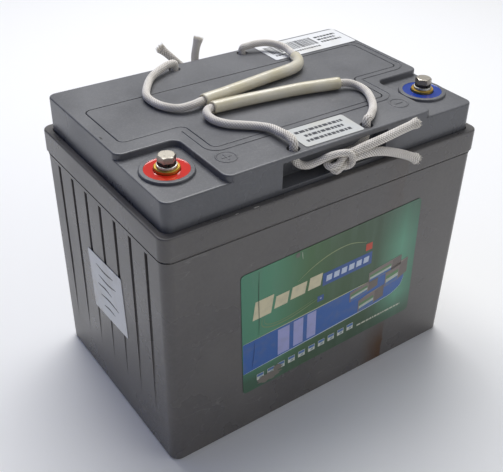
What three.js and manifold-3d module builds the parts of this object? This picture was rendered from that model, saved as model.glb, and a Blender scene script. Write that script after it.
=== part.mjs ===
// A sealed gel deep cycle battery with two rope carrying handles, and what it holds inside.
//
// Millimetres, +Z up. The origin is at the centre of the base. +X runs along the long side,
// -Y is the front face, which has the big label, and both terminals stand at the front corners
// of the lid. The six cells stand in a row along X.

import * as THREE from 'three';
import { mergeVertices } from 'three/addons/utils/BufferGeometryUtils.js';
import Module from 'manifold-3d';

const wasm = await Module();
wasm.setup();

// ---------------------------------------------------------------- driving dimensions

// Case
const CASE_LENGTH = 260; // over the rim
const CASE_WIDTH = 168;
const CASE_HEIGHT = 187.5; // base to the ledge round the lid
const CASE_CORNER = 7;
const RIM_HEIGHT = 17; // thick band round the mouth
const RIM_PROUD = 1.1; // how far the band stands off the wall
const RIM_LEDGE = 4.8; // flat top of the band, outside the lid
const RIM_EDGE = 1.2; // rounding of the band's edges
const WALL_DRAFT = 1; // how far the wall leans in from the band to the base
const WALL = 4.2;
const FLOOR = 4;
const BASE_EDGE = 1.2;

// End wall grooves: they start under the band and run out towards the base
const GROOVES = 7;
const GROOVE_PITCH = 20.4;
const GROOVE_WIDTH = 3.6;
const GROOVE_DEPTH = 2.1;
const GROOVE_TOP_GAP = 4.5;
const GROOVE_FOOT = 30;

// Lid
const LID_RISE = 24.5; // plateau above the rim ledge
const LID_SEAT = 4; // how deep the lid stands in the mouth
const LID_GAP = 0.4; // all round, between lid and rim
const LID_CORNER = 6;
const LID_EDGE = 1.2;
const LID_SKIRT = 3;
const LID_DECK = 8.5; // thickness of the deck under the plateau

// Sunk pads at the front corners, and the terminals in them
const PAD_DEPTH = 4.5;
const PAD_LENGTH = 41.5;
const PAD_WIDTH = 56.5;
const TERMINAL_FROM_END = 20.3;
const TERMINAL_FROM_FRONT = 31.3;
const LIP_RADIUS = 17;
const LIP_WIDTH = 3;
const LIP_HEIGHT = 2;
const LIP_EDGE = 0.8;
const WELL_DEPTH = 3; // below the pad
const SEAL_DROP = 0.4; // sealing compound below the lip
const POST_RADIUS = 8;
const POST_GAP = 0.3;
const INSERT_RISE = 3.8; // brass above the pad
const INSERT_HEIGHT = 15;
const THREAD_DEPTH = 13.2;

// M6 fastener set
const BOLT_THREAD = 6;
const BOLT_FLATS = 10;
const BOLT_HEAD = 4.2;
const BOLT_LENGTH = 15;
const BOLT_CLEARANCE = 0.35; // thread to any hole it stands in
const FLAT_WASHER_RADIUS = 6.4;
const FLAT_WASHER = 1.6;
const SPRING_WASHER_RADIUS = 5.7;
const SPRING_WASHER = 1.7;
const SPRING_SPLIT = 1;
const SEAT_GAP = 0.05; // between faces that bear on each other

// Vent cover and the six valves under it
const COVER_FROM_END = 9.5;
const COVER_FROM_FRONT = 33.8;
const COVER_FROM_BACK = 36.5;
const COVER_FROM_PAD = 12.5;
const COVER_CORNER = 5;
const COVER_THICKNESS = 2.2;
const COVER_GAP = 0.5;
const COVER_EDGE = 0.4;
const VENT_DEPTH = 6.5; // pocket below the plateau
const NECK_RADIUS = 6;
const NECK_BORE = 4;
const NECK_RISE = 2.4;
const CAP_WALL = 1.3;
const CAP_GAP = 0.3;
const TRIM_OFFSET = 4.5; // second line, outside the cover
const TRIM_WIDTH = 0.9;
const TRIM_DEPTH = 0.6;

// Moulded polarity marks on the plateau
const MARK_FROM_PAD = 13;
const MARK_FROM_FRONT = 20;
const MARK_RADIUS = 7;
const MARK_LINE = 1.1;
const MARK_RISE = 0.5;

// Knot slots in the long sides of the lid, and the rope handles
const SLOT_LENGTH = 85;
const SLOT_DEPTH = 12.8;
const SLOT_LOW = 3; // slot floor above the rim ledge
const SLOT_ROOF = 3.5;
const SLOT_WALL = 2.5;
const ROPE = 5.6;
const ROPE_HOLE = 8.6;
const ROPE_HOLE_X = 29.8;
const ROPE_HOLE_FROM_FACE = 7.3;
const ROPE_REST_GAP = 0.3; // between the lid and what lies on it
const PIVOT_RISE = 0.8; // pivot above a rope that lies on the lid
const STUB_GAP = 0.5; // rope in the hole to rope of the handle
const GRIP_OUTER = 8.6;
const GRIP_CLEARANCE = 0.9;
const KNOT_SIZE = new THREE.Vector3(17, 13, 14);

// Cells
const CELLS = 6;
const PARTITION = 2;
const HEAD_SPACE = 33; // plate tops to the lid seat
const POSITIVE_PLATE = 3.2;
const NEGATIVE_PLATE = 2.2;
const PLATE_GAP = 0.75;
const SEPARATOR = 0.35;
const PLATE_FROM_WALL = 5;
const PLATE_FROM_PARTITION = 1;
const PLATE_FOOT = 0.3;
const LUG_WIDTH = 9;
const LUG_HEIGHT = 9;
const STRAP_WIDTH = 14;
const STRAP_HEIGHT = 7;
const LINK_WIDTH = 10;
const LINK_HEIGHT = 5;
const LINK_GAP = 0.3;

// Labels. `rise` is above the middle of the wall; `in` is from the nearest edge of the lid.
const LABEL = 0.3;
const LABEL_GAP = 0.12;
const FRONT_LABEL = { length: 157, height: 105.5, x: 4.8, rise: 4.5, tilt: 2.1, corner: 3 };
const END_STICKER = { length: 49.5, height: 49.5, y: 0.6, rise: 10.3, tilt: 3.2, corner: 1 };
const TYPE_LABEL = { length: 47, height: 24.6, x: 1.4, in: 15.4, tilt: -1, corner: 2 };
const BARCODE_LABEL = { length: 79, height: 30, inX: 42.2, in: 18.4, tilt: 0, corner: 1.5 };

// ---------------------------------------------------------------- places worked out from them

const halfLength = CASE_LENGTH / 2;
const halfWidth = CASE_WIDTH / 2;
const rimFoot = CASE_HEIGHT - RIM_HEIGHT;
const lidSeat = CASE_HEIGHT - LID_SEAT;
const lidTop = CASE_HEIGHT + LID_RISE;
const lidX = halfLength - RIM_LEDGE - LID_GAP;
const lidY = halfWidth - RIM_LEDGE - LID_GAP;
const deckUnderside = lidTop - LID_DECK;
const padTop = lidTop - PAD_DEPTH;
const padX = lidX - PAD_LENGTH; // inner wall of a pad
const padY = -lidY + PAD_WIDTH; // back wall of a pad
const terminalX = lidX - TERMINAL_FROM_END;
const terminalY = -lidY + TERMINAL_FROM_FRONT;
const slotFloor = CASE_HEIGHT + SLOT_LOW;
const slotRoof = lidTop - SLOT_ROOF;
const holeY = lidY - ROPE_HOLE_FROM_FACE;
const ropeRest = lidTop + ROPE_REST_GAP + ROPE / 2;
const gripRest = lidTop + ROPE_REST_GAP + GRIP_OUTER / 2;
const pivotZ = ropeRest + PIVOT_RISE;
const cavityX = halfLength - RIM_PROUD - WALL_DRAFT - WALL;
const cavityY = halfWidth - RIM_PROUD - WALL_DRAFT - WALL;
const cellPitch = (2 * cavityX + PARTITION) / CELLS;
const cellWidth = cellPitch - PARTITION;
const plateFoot = FLOOR + PLATE_FOOT;
const plateTop = lidSeat - HEAD_SPACE;
const strapTop = plateTop + LUG_HEIGHT + STRAP_HEIGHT;
const linkFoot = plateTop + LUG_HEIGHT + (STRAP_HEIGHT - LINK_HEIGHT) / 2;
const headroomTop = lidSeat - PARTITION; // the partitions end here
const BEYOND = 50; // cutters reach this far past what they cut
const ROUND = 24; // sides of a round piece
const SMALL_ROUND = 16;
const ARC_STEPS = 4; // straight steps in a rounded corner

// ---------------------------------------------------------------- materials

const material = (color, roughness, metalness = 0) =>
  new THREE.MeshStandardMaterial({ color, roughness, metalness });
const caseGrey = material('#5a595c', 0.5);
const lidGrey = material('#77777a', 0.5);
const lead = material('#6f7276', 0.55, 1);
const leadPaste = material('#3d2a24', 0.9);
const leadSponge = material('#7b7d80', 0.8);
const glassMat = material('#e6e4dc', 0.95);
const brass = material('#b79a4e', 0.35, 1);
const zinc = material('#b9a35f', 0.35, 1);
const steel = material('#a8a39a', 0.3, 1);
const redResin = material('#c8281f', 0.15);
const blueResin = material('#1f3796', 0.15);
const rubber = material('#26262a', 0.85);
const rope = material('#dcd7d0', 0.9);
const sleeve = material('#c2bb98', 0.35);
const paper = material('#e9e7e4', 0.8);
const printedFilm = material('#2f5a3c', 0.4);

// ---------------------------------------------------------------- modelling helpers

// A closed mesh as a manifold solid, and back again.
function solid(geometry) {
  const bare = geometry.clone();
  bare.deleteAttribute('normal');
  bare.deleteAttribute('uv');
  const merged = mergeVertices(bare, 1e-4);
  return new wasm.Manifold(new wasm.Mesh({
    numProp: 3,
    vertProperties: new Float32Array(merged.attributes.position.array),
    triVerts: new Uint32Array(merged.index.array),
  }));
}

function geometryOf(body) {
  const { vertProperties, triVerts } = body.getMesh();
  const geometry = new THREE.BufferGeometry();
  geometry.setAttribute('position', new THREE.BufferAttribute(vertProperties, 3));
  geometry.setIndex(new THREE.BufferAttribute(triVerts, 1));
  geometry.computeVertexNormals();
  return geometry;
}

const join = (geometries) => geometries.map(solid).reduce((a, b) => a.add(b));

// What is left of the first solid when the others are taken away.
function cut(body, geometries) {
  return geometries.reduce((rest, geometry) => rest.subtract(solid(geometry)), body);
}

function box(x0, x1, y0, y1, z0, z1) {
  const geometry = new THREE.BoxGeometry(x1 - x0, y1 - y0, z1 - z0);
  return geometry.translate((x0 + x1) / 2, (y0 + y1) / 2, (z0 + z1) / 2);
}

function cylinder(radius, z0, z1, x = 0, y = 0, sides = ROUND) {
  const geometry = new THREE.CylinderGeometry(radius, radius, z1 - z0, sides);
  return geometry.rotateX(Math.PI / 2).translate(x, y, (z0 + z1) / 2);
}

// A profile of [radius, z] points turned about the Z axis.
function turned(profile, sides = ROUND) {
  const points = profile.map(([radius, z]) => new THREE.Vector2(radius, z));
  return new THREE.LatheGeometry(points, sides).rotateX(Math.PI / 2);
}

// A ring of rectangular section about the Z axis.
function ring(inner, outer, z0, z1, sides = ROUND) {
  return turned([[inner, z0], [outer, z0], [outer, z1], [inner, z1], [inner, z0]], sides);
}

// A counter-clockwise outline of right-angled corners, each rounded by an arc of its own radius.
function roundedOutline(corners, radii) {
  const shape = new THREE.Shape();
  corners.forEach(([x, y], i) => {
    const corner = new THREE.Vector2(x, y);
    const before = new THREE.Vector2(...corners.at(i - 1)).sub(corner).normalize();
    const after = new THREE.Vector2(...corners[(i + 1) % corners.length]).sub(corner).normalize();
    const radius = radii[i];
    const centre = corner.clone().addScaledVector(before, radius).addScaledVector(after, radius);
    const start = corner.clone().addScaledVector(before, radius).sub(centre);
    const end = corner.clone().addScaledVector(after, radius).sub(centre);
    const inward = before.cross(after) > 0;
    shape.absarc(centre.x, centre.y, radius, start.angle(), end.angle(), inward);
  });
  return shape;
}

function rectangle(halfX, halfY, radius) {
  const corners = [[-halfX, -halfY], [halfX, -halfY], [halfX, halfY], [-halfX, halfY]];
  return roundedOutline(corners, corners.map(() => radius));
}

// A flat piece with the given outline between two heights, its edges rounded by `edge`.
function slab(outline, z0, z1, edge = 0, edgeSteps = 2) {
  const geometry = new THREE.ExtrudeGeometry(outline, {
    depth: z1 - z0 - 2 * edge,
    bevelEnabled: edge > 0,
    bevelThickness: edge,
    bevelSize: edge,
    bevelOffset: -edge,
    bevelSegments: edgeSteps,
    curveSegments: ARC_STEPS,
  });
  return geometry.translate(0, 0, z0 + edge);
}

// Draws a standing piece in towards its foot, so its side walls lean by `lean` at height z0.
function leanIn(geometry, lean, z0, z1) {
  const position = geometry.attributes.position;
  const size = new THREE.Box3().setFromBufferAttribute(position).max;
  for (let i = 0; i < position.count; i += 1) {
    const share = (z1 - position.getZ(i)) / (z1 - z0);
    position.setX(i, position.getX(i) * (1 - (share * lean) / size.x));
    position.setY(i, position.getY(i) * (1 - (share * lean) / size.y));
  }
  return geometry;
}

const curveThrough = (points) => new THREE.CatmullRomCurve3(points, false, 'centripetal');

function disc(radius, sides) {
  const points = Array.from({ length: sides }, (_, i) => {
    const angle = (2 * Math.PI * i) / sides;
    return new THREE.Vector2(radius * Math.cos(angle), radius * Math.sin(angle));
  });
  return points;
}

// A round tube or rod along a curve; `bore` makes it hollow.
function alongCurve(curve, radius, steps, sides, bore = 0) {
  const section = new THREE.Shape(disc(radius, sides));
  if (bore > 0) section.holes.push(new THREE.Path(disc(bore, sides)));
  return new THREE.ExtrudeGeometry(section, { steps, extrudePath: curve, bevelEnabled: false });
}

function part(name, geometry, look, x = 0, y = 0, z = 0) {
  const mesh = new THREE.Mesh(geometry, look);
  mesh.name = name;
  mesh.position.set(x, y, z);
  return mesh;
}

// ---------------------------------------------------------------- case

const wallXAt = (z) => halfLength - RIM_PROUD - (WALL_DRAFT * (rimFoot - z)) / rimFoot;

// A wedge that leaves a groove of full depth at its top and none at its foot.
function groove(side, y) {
  const top = rimFoot - GROOVE_TOP_GAP;
  const outline = new THREE.Shape([
    new THREE.Vector2(wallXAt(GROOVE_FOOT), GROOVE_FOOT),
    new THREE.Vector2(wallXAt(GROOVE_FOOT) + BEYOND, GROOVE_FOOT),
    new THREE.Vector2(wallXAt(top) + BEYOND, top),
    new THREE.Vector2(wallXAt(top) - GROOVE_DEPTH, top),
  ]);
  const wedge = new THREE.ExtrudeGeometry(outline, { depth: GROOVE_WIDTH, bevelEnabled: false });
  wedge.rotateX(Math.PI / 2).translate(0, GROOVE_WIDTH / 2, 0);
  if (side < 0) wedge.rotateZ(Math.PI);
  return wedge.translate(0, y, 0);
}

function partitionWindow(index) {
  const x = -cavityX - PARTITION / 2 + index * cellPitch;
  const y = index % 2 === 1 ? -terminalY : terminalY;
  const reach = PARTITION;
  return box(x - reach, x + reach, y - LINK_WIDTH / 2 - LINK_GAP, y + LINK_WIDTH / 2 + LINK_GAP,
    linkFoot - LINK_GAP, linkFoot + LINK_HEIGHT + LINK_GAP);
}

function batteryCase() {
  const wallOutline = rectangle(halfLength - RIM_PROUD, halfWidth - RIM_PROUD, CASE_CORNER);
  const wall = leanIn(slab(wallOutline, 0, rimFoot + RIM_EDGE, BASE_EDGE), WALL_DRAFT, 0, rimFoot);
  const core = slab(wallOutline, rimFoot - BASE_EDGE, rimFoot + 2 * RIM_EDGE);
  const band = slab(rectangle(halfLength, halfWidth, CASE_CORNER), rimFoot, CASE_HEIGHT, RIM_EDGE);
  const cavities = [
    slab(rectangle(cavityX, cavityY, CASE_CORNER / 2), headroomTop, CASE_HEIGHT + BEYOND),
    slab(rectangle(lidX + LID_GAP, lidY + LID_GAP, LID_CORNER + LID_GAP), lidSeat, CASE_HEIGHT + BEYOND),
  ];
  for (let cell = 0; cell < CELLS; cell += 1) {
    const x = -cavityX + cell * cellPitch;
    cavities.push(box(x, x + cellWidth, -cavityY, cavityY, FLOOR, headroomTop + PARTITION));
  }
  for (let index = 1; index < CELLS; index += 1) cavities.push(partitionWindow(index));
  const grooves = [];
  for (const side of [-1, 1]) {
    for (let i = 0; i < GROOVES; i += 1) {
      grooves.push(groove(side, (i - (GROOVES - 1) / 2) * GROOVE_PITCH));
    }
  }
  return geometryOf(cut(join([wall, core, band]), [...cavities, ...grooves]));
}

// ---------------------------------------------------------------- lid and vent cover

// The T-shaped outline between the pads, moved outwards by `offset` all round.
function teeOutline({ left, front, back, notchX, notchY }, offset, radius) {
  const x = left + offset;
  const corners = [
    [-notchX - offset, front - offset], [notchX + offset, front - offset],
    [notchX + offset, notchY - offset], [x, notchY - offset],
    [x, back + offset], [-x, back + offset],
    [-x, notchY - offset], [-notchX - offset, notchY - offset],
  ];
  const outer = Math.max(radius + offset, 0.5);
  const inner = Math.max(radius - offset, 0.5);
  return roundedOutline(corners, [outer, outer, inner, outer, outer, outer, outer, inner]);
}

const plateauTee = { left: lidX, front: -lidY, back: lidY, notchX: padX, notchY: padY };
const coverTee = {
  left: lidX - COVER_FROM_END,
  front: -lidY + COVER_FROM_FRONT,
  back: lidY - COVER_FROM_BACK,
  notchX: padX - COVER_FROM_PAD,
  notchY: padY + COVER_FROM_PAD,
};
const cellX = (cell) => -cavityX + cellWidth / 2 + cell * cellPitch;
const valveY = (coverTee.back + coverTee.notchY) / 2;
const pocketFloor = lidTop - VENT_DEPTH;

function polarityMark(sign) {
  const x = sign * (padX - MARK_FROM_PAD);
  const y = -lidY + MARK_FROM_FRONT;
  const arm = MARK_RADIUS / 2;
  const line = MARK_LINE / 2;
  const foot = lidTop - MARK_RISE;
  const top = lidTop + MARK_RISE;
  const marks = [
    ring(MARK_RADIUS - MARK_LINE, MARK_RADIUS, foot, top, SMALL_ROUND).translate(x, y, 0),
    box(x - arm, x + arm, y - line, y + line, foot, top),
  ];
  if (sign < 0) marks.push(box(x - line, x + line, y - arm, y + arm, foot, top));
  return marks;
}

function knotSlot(side, grow) {
  const face = side * (lidY + (grow > 0 ? 0 : BEYOND));
  const back = side * (lidY - SLOT_DEPTH - grow);
  const halfSlot = SLOT_LENGTH / 2 + grow;
  return box(-halfSlot, halfSlot, Math.min(face, back), Math.max(face, back),
    slotFloor - grow, slotRoof + grow);
}

// The space under the deck, less the bosses and slot housings that stand in it.
function lidHollow() {
  const space = slab(rectangle(lidX - LID_SKIRT, lidY - LID_SKIRT, LID_CORNER / 2),
    lidSeat - BEYOND, deckUnderside);
  const kept = [knotSlot(-1, SLOT_WALL), knotSlot(1, SLOT_WALL)];
  for (const sign of [-1, 1]) {
    kept.push(cylinder(LIP_RADIUS, padTop - INSERT_HEIGHT, lidTop, sign * terminalX, terminalY));
  }
  return geometryOf(cut(solid(space), kept));
}

// The fine second line: along the pads, the front and the right end of the cover.
function trimLine() {
  const top = lidTop + BEYOND;
  const outer = teeOutline(coverTee, TRIM_OFFSET + TRIM_WIDTH, COVER_CORNER);
  const inner = teeOutline(coverTee, TRIM_OFFSET, COVER_CORNER);
  const left = box(-halfLength, coverTee.notchX, padY + COVER_FROM_PAD / 2, halfWidth, lidSeat, top + 1);
  return geometryOf(cut(solid(slab(outer, lidTop - TRIM_DEPTH, top)), [slab(inner, lidSeat, top + 1), left]));
}

function lid() {
  const plateau = slab(teeOutline(plateauTee, 0, LID_CORNER), lidSeat, lidTop, LID_EDGE);
  const padCentreX = (lidX + padX) / 2 - LID_CORNER; // the block reaches in under the plateau
  const padCentreY = (padY - lidY) / 2 + LID_CORNER;
  const padBlock = rectangle(PAD_LENGTH / 2 + LID_CORNER, PAD_WIDTH / 2 + LID_CORNER, LID_CORNER);
  const raised = [plateau];
  const sunk = [lidHollow(), knotSlot(-1, 0), knotSlot(1, 0)];
  for (const sign of [-1, 1]) {
    const [x, y] = [sign * terminalX, terminalY];
    const block = slab(padBlock, lidSeat, padTop, LID_EDGE);
    const lipOutline = new THREE.Shape(disc(LIP_RADIUS, ROUND));
    const lip = slab(lipOutline, padTop - PAD_DEPTH, padTop + LIP_HEIGHT, LIP_EDGE);
    raised.push(block.translate(sign * padCentreX, padCentreY, 0), lip.translate(x, y, 0));
    raised.push(...polarityMark(sign));
    sunk.push(cylinder(LIP_RADIUS - LIP_WIDTH, padTop - WELL_DEPTH, lidTop, x, y));
    sunk.push(cylinder(POST_RADIUS + POST_GAP, lidSeat, lidTop, x, y));
    for (const side of [-1, 1]) {
      sunk.push(cylinder(ROPE_HOLE / 2, slotRoof - SLOT_ROOF, lidTop + ROPE,
        sign * ROPE_HOLE_X, side * holeY, SMALL_ROUND));
    }
  }
  const pocket = slab(teeOutline(coverTee, 0, COVER_CORNER), pocketFloor, lidTop + BEYOND);
  const shell = cut(join(raised), [...sunk, pocket, trimLine()]);
  const necks = [];
  const bores = [];
  for (let cell = 0; cell < CELLS; cell += 1) {
    const x = cellX(cell);
    necks.push(cylinder(NECK_RADIUS, pocketFloor - 1, pocketFloor + NECK_RISE, x, valveY, SMALL_ROUND));
    bores.push(cylinder(NECK_BORE, lidSeat, pocketFloor + 2 * NECK_RISE, x, valveY, SMALL_ROUND));
  }
  return geometryOf(cut(necks.map(solid).reduce((a, b) => a.add(b), shell), bores));
}

function ventCover() {
  const outline = teeOutline(coverTee, -COVER_GAP, COVER_CORNER);
  return slab(outline, lidTop - COVER_THICKNESS, lidTop, COVER_EDGE, 1);
}

// A rubber cap that sits over a neck and lifts when the cell has to let gas out.
function valveCap() {
  const inner = NECK_RADIUS + CAP_GAP;
  const crown = NECK_RISE + CAP_GAP;
  return turned([
    [0, crown], [inner, crown], [inner, CAP_GAP], [inner + CAP_WALL, CAP_GAP],
    [inner + CAP_WALL, crown + CAP_WALL / 2], [inner, crown + CAP_WALL], [0, crown + CAP_WALL],
  ], SMALL_ROUND);
}

// ---------------------------------------------------------------- terminals

const insertTop = padTop + INSERT_RISE;
const flatWasherFoot = insertTop + SEAT_GAP;
const springWasherFoot = flatWasherFoot + FLAT_WASHER + SEAT_GAP;
const headFoot = springWasherFoot + SPRING_WASHER + SEAT_GAP;

function hexBolt() {
  const across = BOLT_FLATS / Math.sqrt(3);
  const headTop = headFoot + BOLT_HEAD;
  const chamfer = across - BOLT_FLATS / 2;
  const chamferedRound = turned([
    [0, headFoot], [across, headFoot], [across, headTop - chamfer],
    [BOLT_FLATS / 2 - chamfer, headTop], [0, headTop],
  ], ROUND);
  const head = solid(cylinder(across, headFoot, headTop, 0, 0, 6)).intersect(solid(chamferedRound));
  const shankFoot = headFoot - BOLT_LENGTH;
  const shank = solid(cylinder(BOLT_THREAD / 2, shankFoot, headFoot + 1, 0, 0, SMALL_ROUND));
  return geometryOf(head.add(shank));
}

function springWasher() {
  const whole = solid(ring(BOLT_THREAD / 2 + BOLT_CLEARANCE, SPRING_WASHER_RADIUS,
    springWasherFoot, springWasherFoot + SPRING_WASHER));
  const split = box(0, BEYOND, -SPRING_SPLIT / 2, SPRING_SPLIT / 2, padTop, lidTop + BEYOND);
  return geometryOf(cut(whole, [split]));
}

function terminalInsert() {
  const body = solid(cylinder(POST_RADIUS, insertTop - INSERT_HEIGHT, insertTop));
  const thread = cylinder(BOLT_THREAD / 2 + BOLT_CLEARANCE, insertTop - THREAD_DEPTH,
    lidTop + BEYOND, 0, 0, SMALL_ROUND);
  return geometryOf(cut(body, [thread]));
}

function terminal(polarity, sign, resin) {
  const group = new THREE.Group();
  group.position.set(sign * terminalX, terminalY, 0);
  const wellFoot = padTop - WELL_DEPTH + SEAT_GAP;
  const seal = ring(POST_RADIUS + POST_GAP, LIP_RADIUS - LIP_WIDTH - SEAT_GAP * 2,
    wellFoot, padTop + LIP_HEIGHT - SEAL_DROP);
  const flat = ring(BOLT_THREAD / 2 + BOLT_CLEARANCE, FLAT_WASHER_RADIUS,
    flatWasherFoot, flatWasherFoot + FLAT_WASHER);
  const post = cylinder(POST_RADIUS, strapTop + SEAT_GAP, insertTop - INSERT_HEIGHT - SEAT_GAP);
  group.add(
    part(`${polarity}_terminal_post`, post, lead),
    part(`${polarity}_terminal_insert`, terminalInsert(), brass),
    part(`${polarity}_seal_ring`, seal, resin),
    part(`${polarity}_flat_washer`, flat, zinc),
    part(`${polarity}_spring_washer`, springWasher(), steel),
    part(`${polarity}_bolt`, hexBolt(), steel),
  );
  return group;
}

// ---------------------------------------------------------------- cells

const platePitch = POSITIVE_PLATE + NEGATIVE_PLATE + 2 * PLATE_GAP;
const positives = Math.floor((cellWidth - 2 * PLATE_FROM_PARTITION - NEGATIVE_PLATE) / platePitch);
const plateHalf = cavityY - PLATE_FROM_WALL;

// Plates of one polarity, hung by their lugs from a cast strap. x = 0 is the middle of the cell.
function plateGroup(count, thickness, lugY) {
  const pieces = [];
  for (let i = 0; i < count; i += 1) {
    const x = (i - (count - 1) / 2) * platePitch;
    const [x0, x1] = [x - thickness / 2, x + thickness / 2];
    pieces.push(box(x0, x1, -plateHalf, plateHalf, plateFoot, plateTop));
    pieces.push(box(x0, x1, lugY - LUG_WIDTH / 2, lugY + LUG_WIDTH / 2, plateTop - 1, strapTop - 1));
  }
  const reach = strapReach(count, thickness);
  pieces.push(box(-reach, reach, lugY - STRAP_WIDTH / 2, lugY + STRAP_WIDTH / 2,
    plateTop + LUG_HEIGHT, strapTop));
  return geometryOf(join(pieces));
}

const strapReach = (count, thickness) => ((count - 1) * platePitch + thickness) / 2;

// One long sheet of glass mat, folded zigzag between the plates.
function separator() {
  const leaves = 2 * positives;
  const gapPitch = platePitch / 2;
  const fold = plateHalf + PLATE_GAP;
  const pieces = [];
  let previous = null;
  for (let i = 0; i < leaves; i += 1) {
    const x = separatorX(i);
    pieces.push(box(x - SEPARATOR / 2, x + SEPARATOR / 2, -fold, fold, plateFoot, plateTop + gapPitch));
    if (previous !== null) {
      const y0 = i % 2 === 1 ? fold - SEPARATOR : -fold;
      pieces.push(box(previous, x, y0, y0 + SEPARATOR, plateFoot, plateTop + gapPitch));
    }
    previous = x;
  }
  return geometryOf(join(pieces));
}

// Middle of gap i, counted from the outer negative plate.
function separatorX(i) {
  const plate = -positives * platePitch / 2 + Math.floor((i + 1) / 2) * platePitch;
  const side = i % 2 === 0 ? 1 : -1;
  return plate + side * (NEGATIVE_PLATE + PLATE_GAP) / 2;
}

function cell(index) {
  const number = index + 1;
  const lugY = index % 2 === 0 ? terminalY : -terminalY;
  const group = new THREE.Group();
  group.position.x = cellX(index);
  group.add(
    part(`positive_plate_group_${number}`, plateGroup(positives, POSITIVE_PLATE, lugY), leadPaste),
    part(`negative_plate_group_${number}`, plateGroup(positives + 1, NEGATIVE_PLATE, -lugY), leadSponge),
    part(`separator_${number}`, separator(), glassMat),
    part(`valve_cap_${number}`, valveCap(), rubber, 0, valveY, pocketFloor),
  );
  return group;
}

// The cast link that goes through a partition and puts two cells in series.
function intercellConnector(index) {
  const y = index % 2 === 1 ? -terminalY : terminalY;
  const from = cellX(index - 1) + strapReach(positives + 1, NEGATIVE_PLATE) + SEAT_GAP;
  const to = cellX(index) - strapReach(positives, POSITIVE_PLATE) - SEAT_GAP;
  return box(from, to, y - LINK_WIDTH / 2, y + LINK_WIDTH / 2, linkFoot, linkFoot + LINK_HEIGHT);
}

// ---------------------------------------------------------------- rope handles

// Each route is a list of points [x, y from the holes towards the middle of the lid, height above
// a rope that lies on the lid]. A loop starts and ends on the pivot line through its two holes.
const lift = gripRest - ropeRest;
const FRONT_LOOP = {
  toward: 1,
  before: [[-ROPE_HOLE_X, 0, PIVOT_RISE], [-28.8, 7, 1.8], [-29.3, 15, 1.4], [-30, 23, 0.7], [-34.5, 31, 0],
    [-42.5, 38, 0], [-49.5, 44.5, 0], [-53.8, 53, 0.3], [-53.6, 61, lift * 0.8], [-50, 65.3, lift]],
  grip: [[-46.5, 66, lift], [-25.4, 64.8, lift], [-2.7, 62.2, lift], [20.6, 59.2, lift],
    [39.4, 55, lift], [50.5, 52.3, lift]],
  after: [[56, 50, lift * 0.8], [59.8, 45.5, 0.4], [60.6, 39, 0], [59.2, 33, 0], [55.5, 25.5, 0],
    [50.7, 18, 0], [44.8, 11, 0.4], [38.5, 5.3, 1.1], [33.5, 1.5, 1.1], [ROPE_HOLE_X, 0, PIVOT_RISE]],
};
const REAR_LOOP = {
  toward: -1,
  before: [[-ROPE_HOLE_X, 0, PIVOT_RISE], [-34, 1, 2.1], [-42, 4.2, 1.9], [-55, 11.5, 0.4], [-66.5, 25.7, 0],
    [-72, 35.5, 0], [-73.1, 43.5, 0], [-70.9, 54.8, 0], [-63.7, 64, 0.3], [-54, 66, lift * 0.8]],
  grip: [[-45.5, 64.4, lift], [-29.3, 62.4, lift], [-13.1, 59.9, lift], [0, 58, lift], [14, 55.9, lift],
    [26.8, 54.4, lift], [37.2, 52.6, lift], [45, 49, lift], [50.5, 42.5, lift], [53.2, 35.5, lift]],
  after: [[54.8, 30, lift], [56.2, 24.5, 1.4], [55.7, 19, 2.4], [52.8, 11.5, 3.2], [47.5, 5.9, 3.5],
    [41.5, 3, 3.2], [35, 1.2, 2.2], [ROPE_HOLE_X, 0, PIVOT_RISE]],
};
const ROPE_SIDES = 8;
const ROPE_STEPS = 52;
const GRIP_SIDES = 10;
const GRIP_STEPS = 14;

function loopPoint({ toward }, [x, y, z]) {
  return new THREE.Vector3(x, toward * (y - holeY), ropeRest + z);
}

function handle(name, loop) {
  const points = [...loop.before, ...loop.grip, ...loop.after].map((p) => loopPoint(loop, p));
  const curve = curveThrough(points);
  const at = (index) => index / (points.length - 1);
  const start = at(loop.before.length);
  const end = at(loop.before.length + loop.grip.length - 1);
  const held = Array.from({ length: GRIP_STEPS + 1 },
    (_, i) => curve.getPoint(start + ((end - start) * i) / GRIP_STEPS));
  const bore = (ROPE + GRIP_CLEARANCE) / 2;
  const loopTube = alongCurve(curve, ROPE / 2, ROPE_STEPS, ROPE_SIDES);
  const gripTube = alongCurve(curveThrough(held), GRIP_OUTER / 2, GRIP_STEPS, GRIP_SIDES, bore);
  return [part(`${name}_rope_loop`, loopTube, rope), part(`${name}_grip`, gripTube, sleeve)];
}

// The rest of the rope: down each hole, along the slot, into the knot, and the two loose ends.
// Points are [x, distance outwards from the holes, height above the slot floor].
const stubTop = pivotZ - ROPE / 2 - STUB_GAP - slotFloor;
const slotDepthZ = slotRoof - slotFloor;
const holeEnd = (side) => [[side * ROPE_HOLE_X, 0, stubTop], [side * ROPE_HOLE_X, 0.2, slotDepthZ]];
const FRONT_KNOT = {
  outward: -1,
  centre: [1, 10.5, 10],
  strands: [
    [...holeEnd(-1), [-27.5, 1.6, 12], [-22, 4, 10], [-13, 6.8, 10.4], [-3, 9.5, 10]],
    [...holeEnd(1), [27.5, 1.6, 11.5], [22, 4, 9.5], [13, 6.8, 9.5], [4, 9.5, 10]],
    [[4, 10.5, 11], [10, 12, 13], [20, 13.3, 15], [35, 13.8, 17], [49, 14, 19], [61, 14.2, 20.3]],
    [[4, 10.5, 9.5], [11, 12, 10.4], [20, 13.5, 10.5], [32, 16, 9], [43, 18.4, 5.2], [52, 19.8, 1.2],
      [58.5, 20.3, -2.5]],
  ],
};
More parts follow.
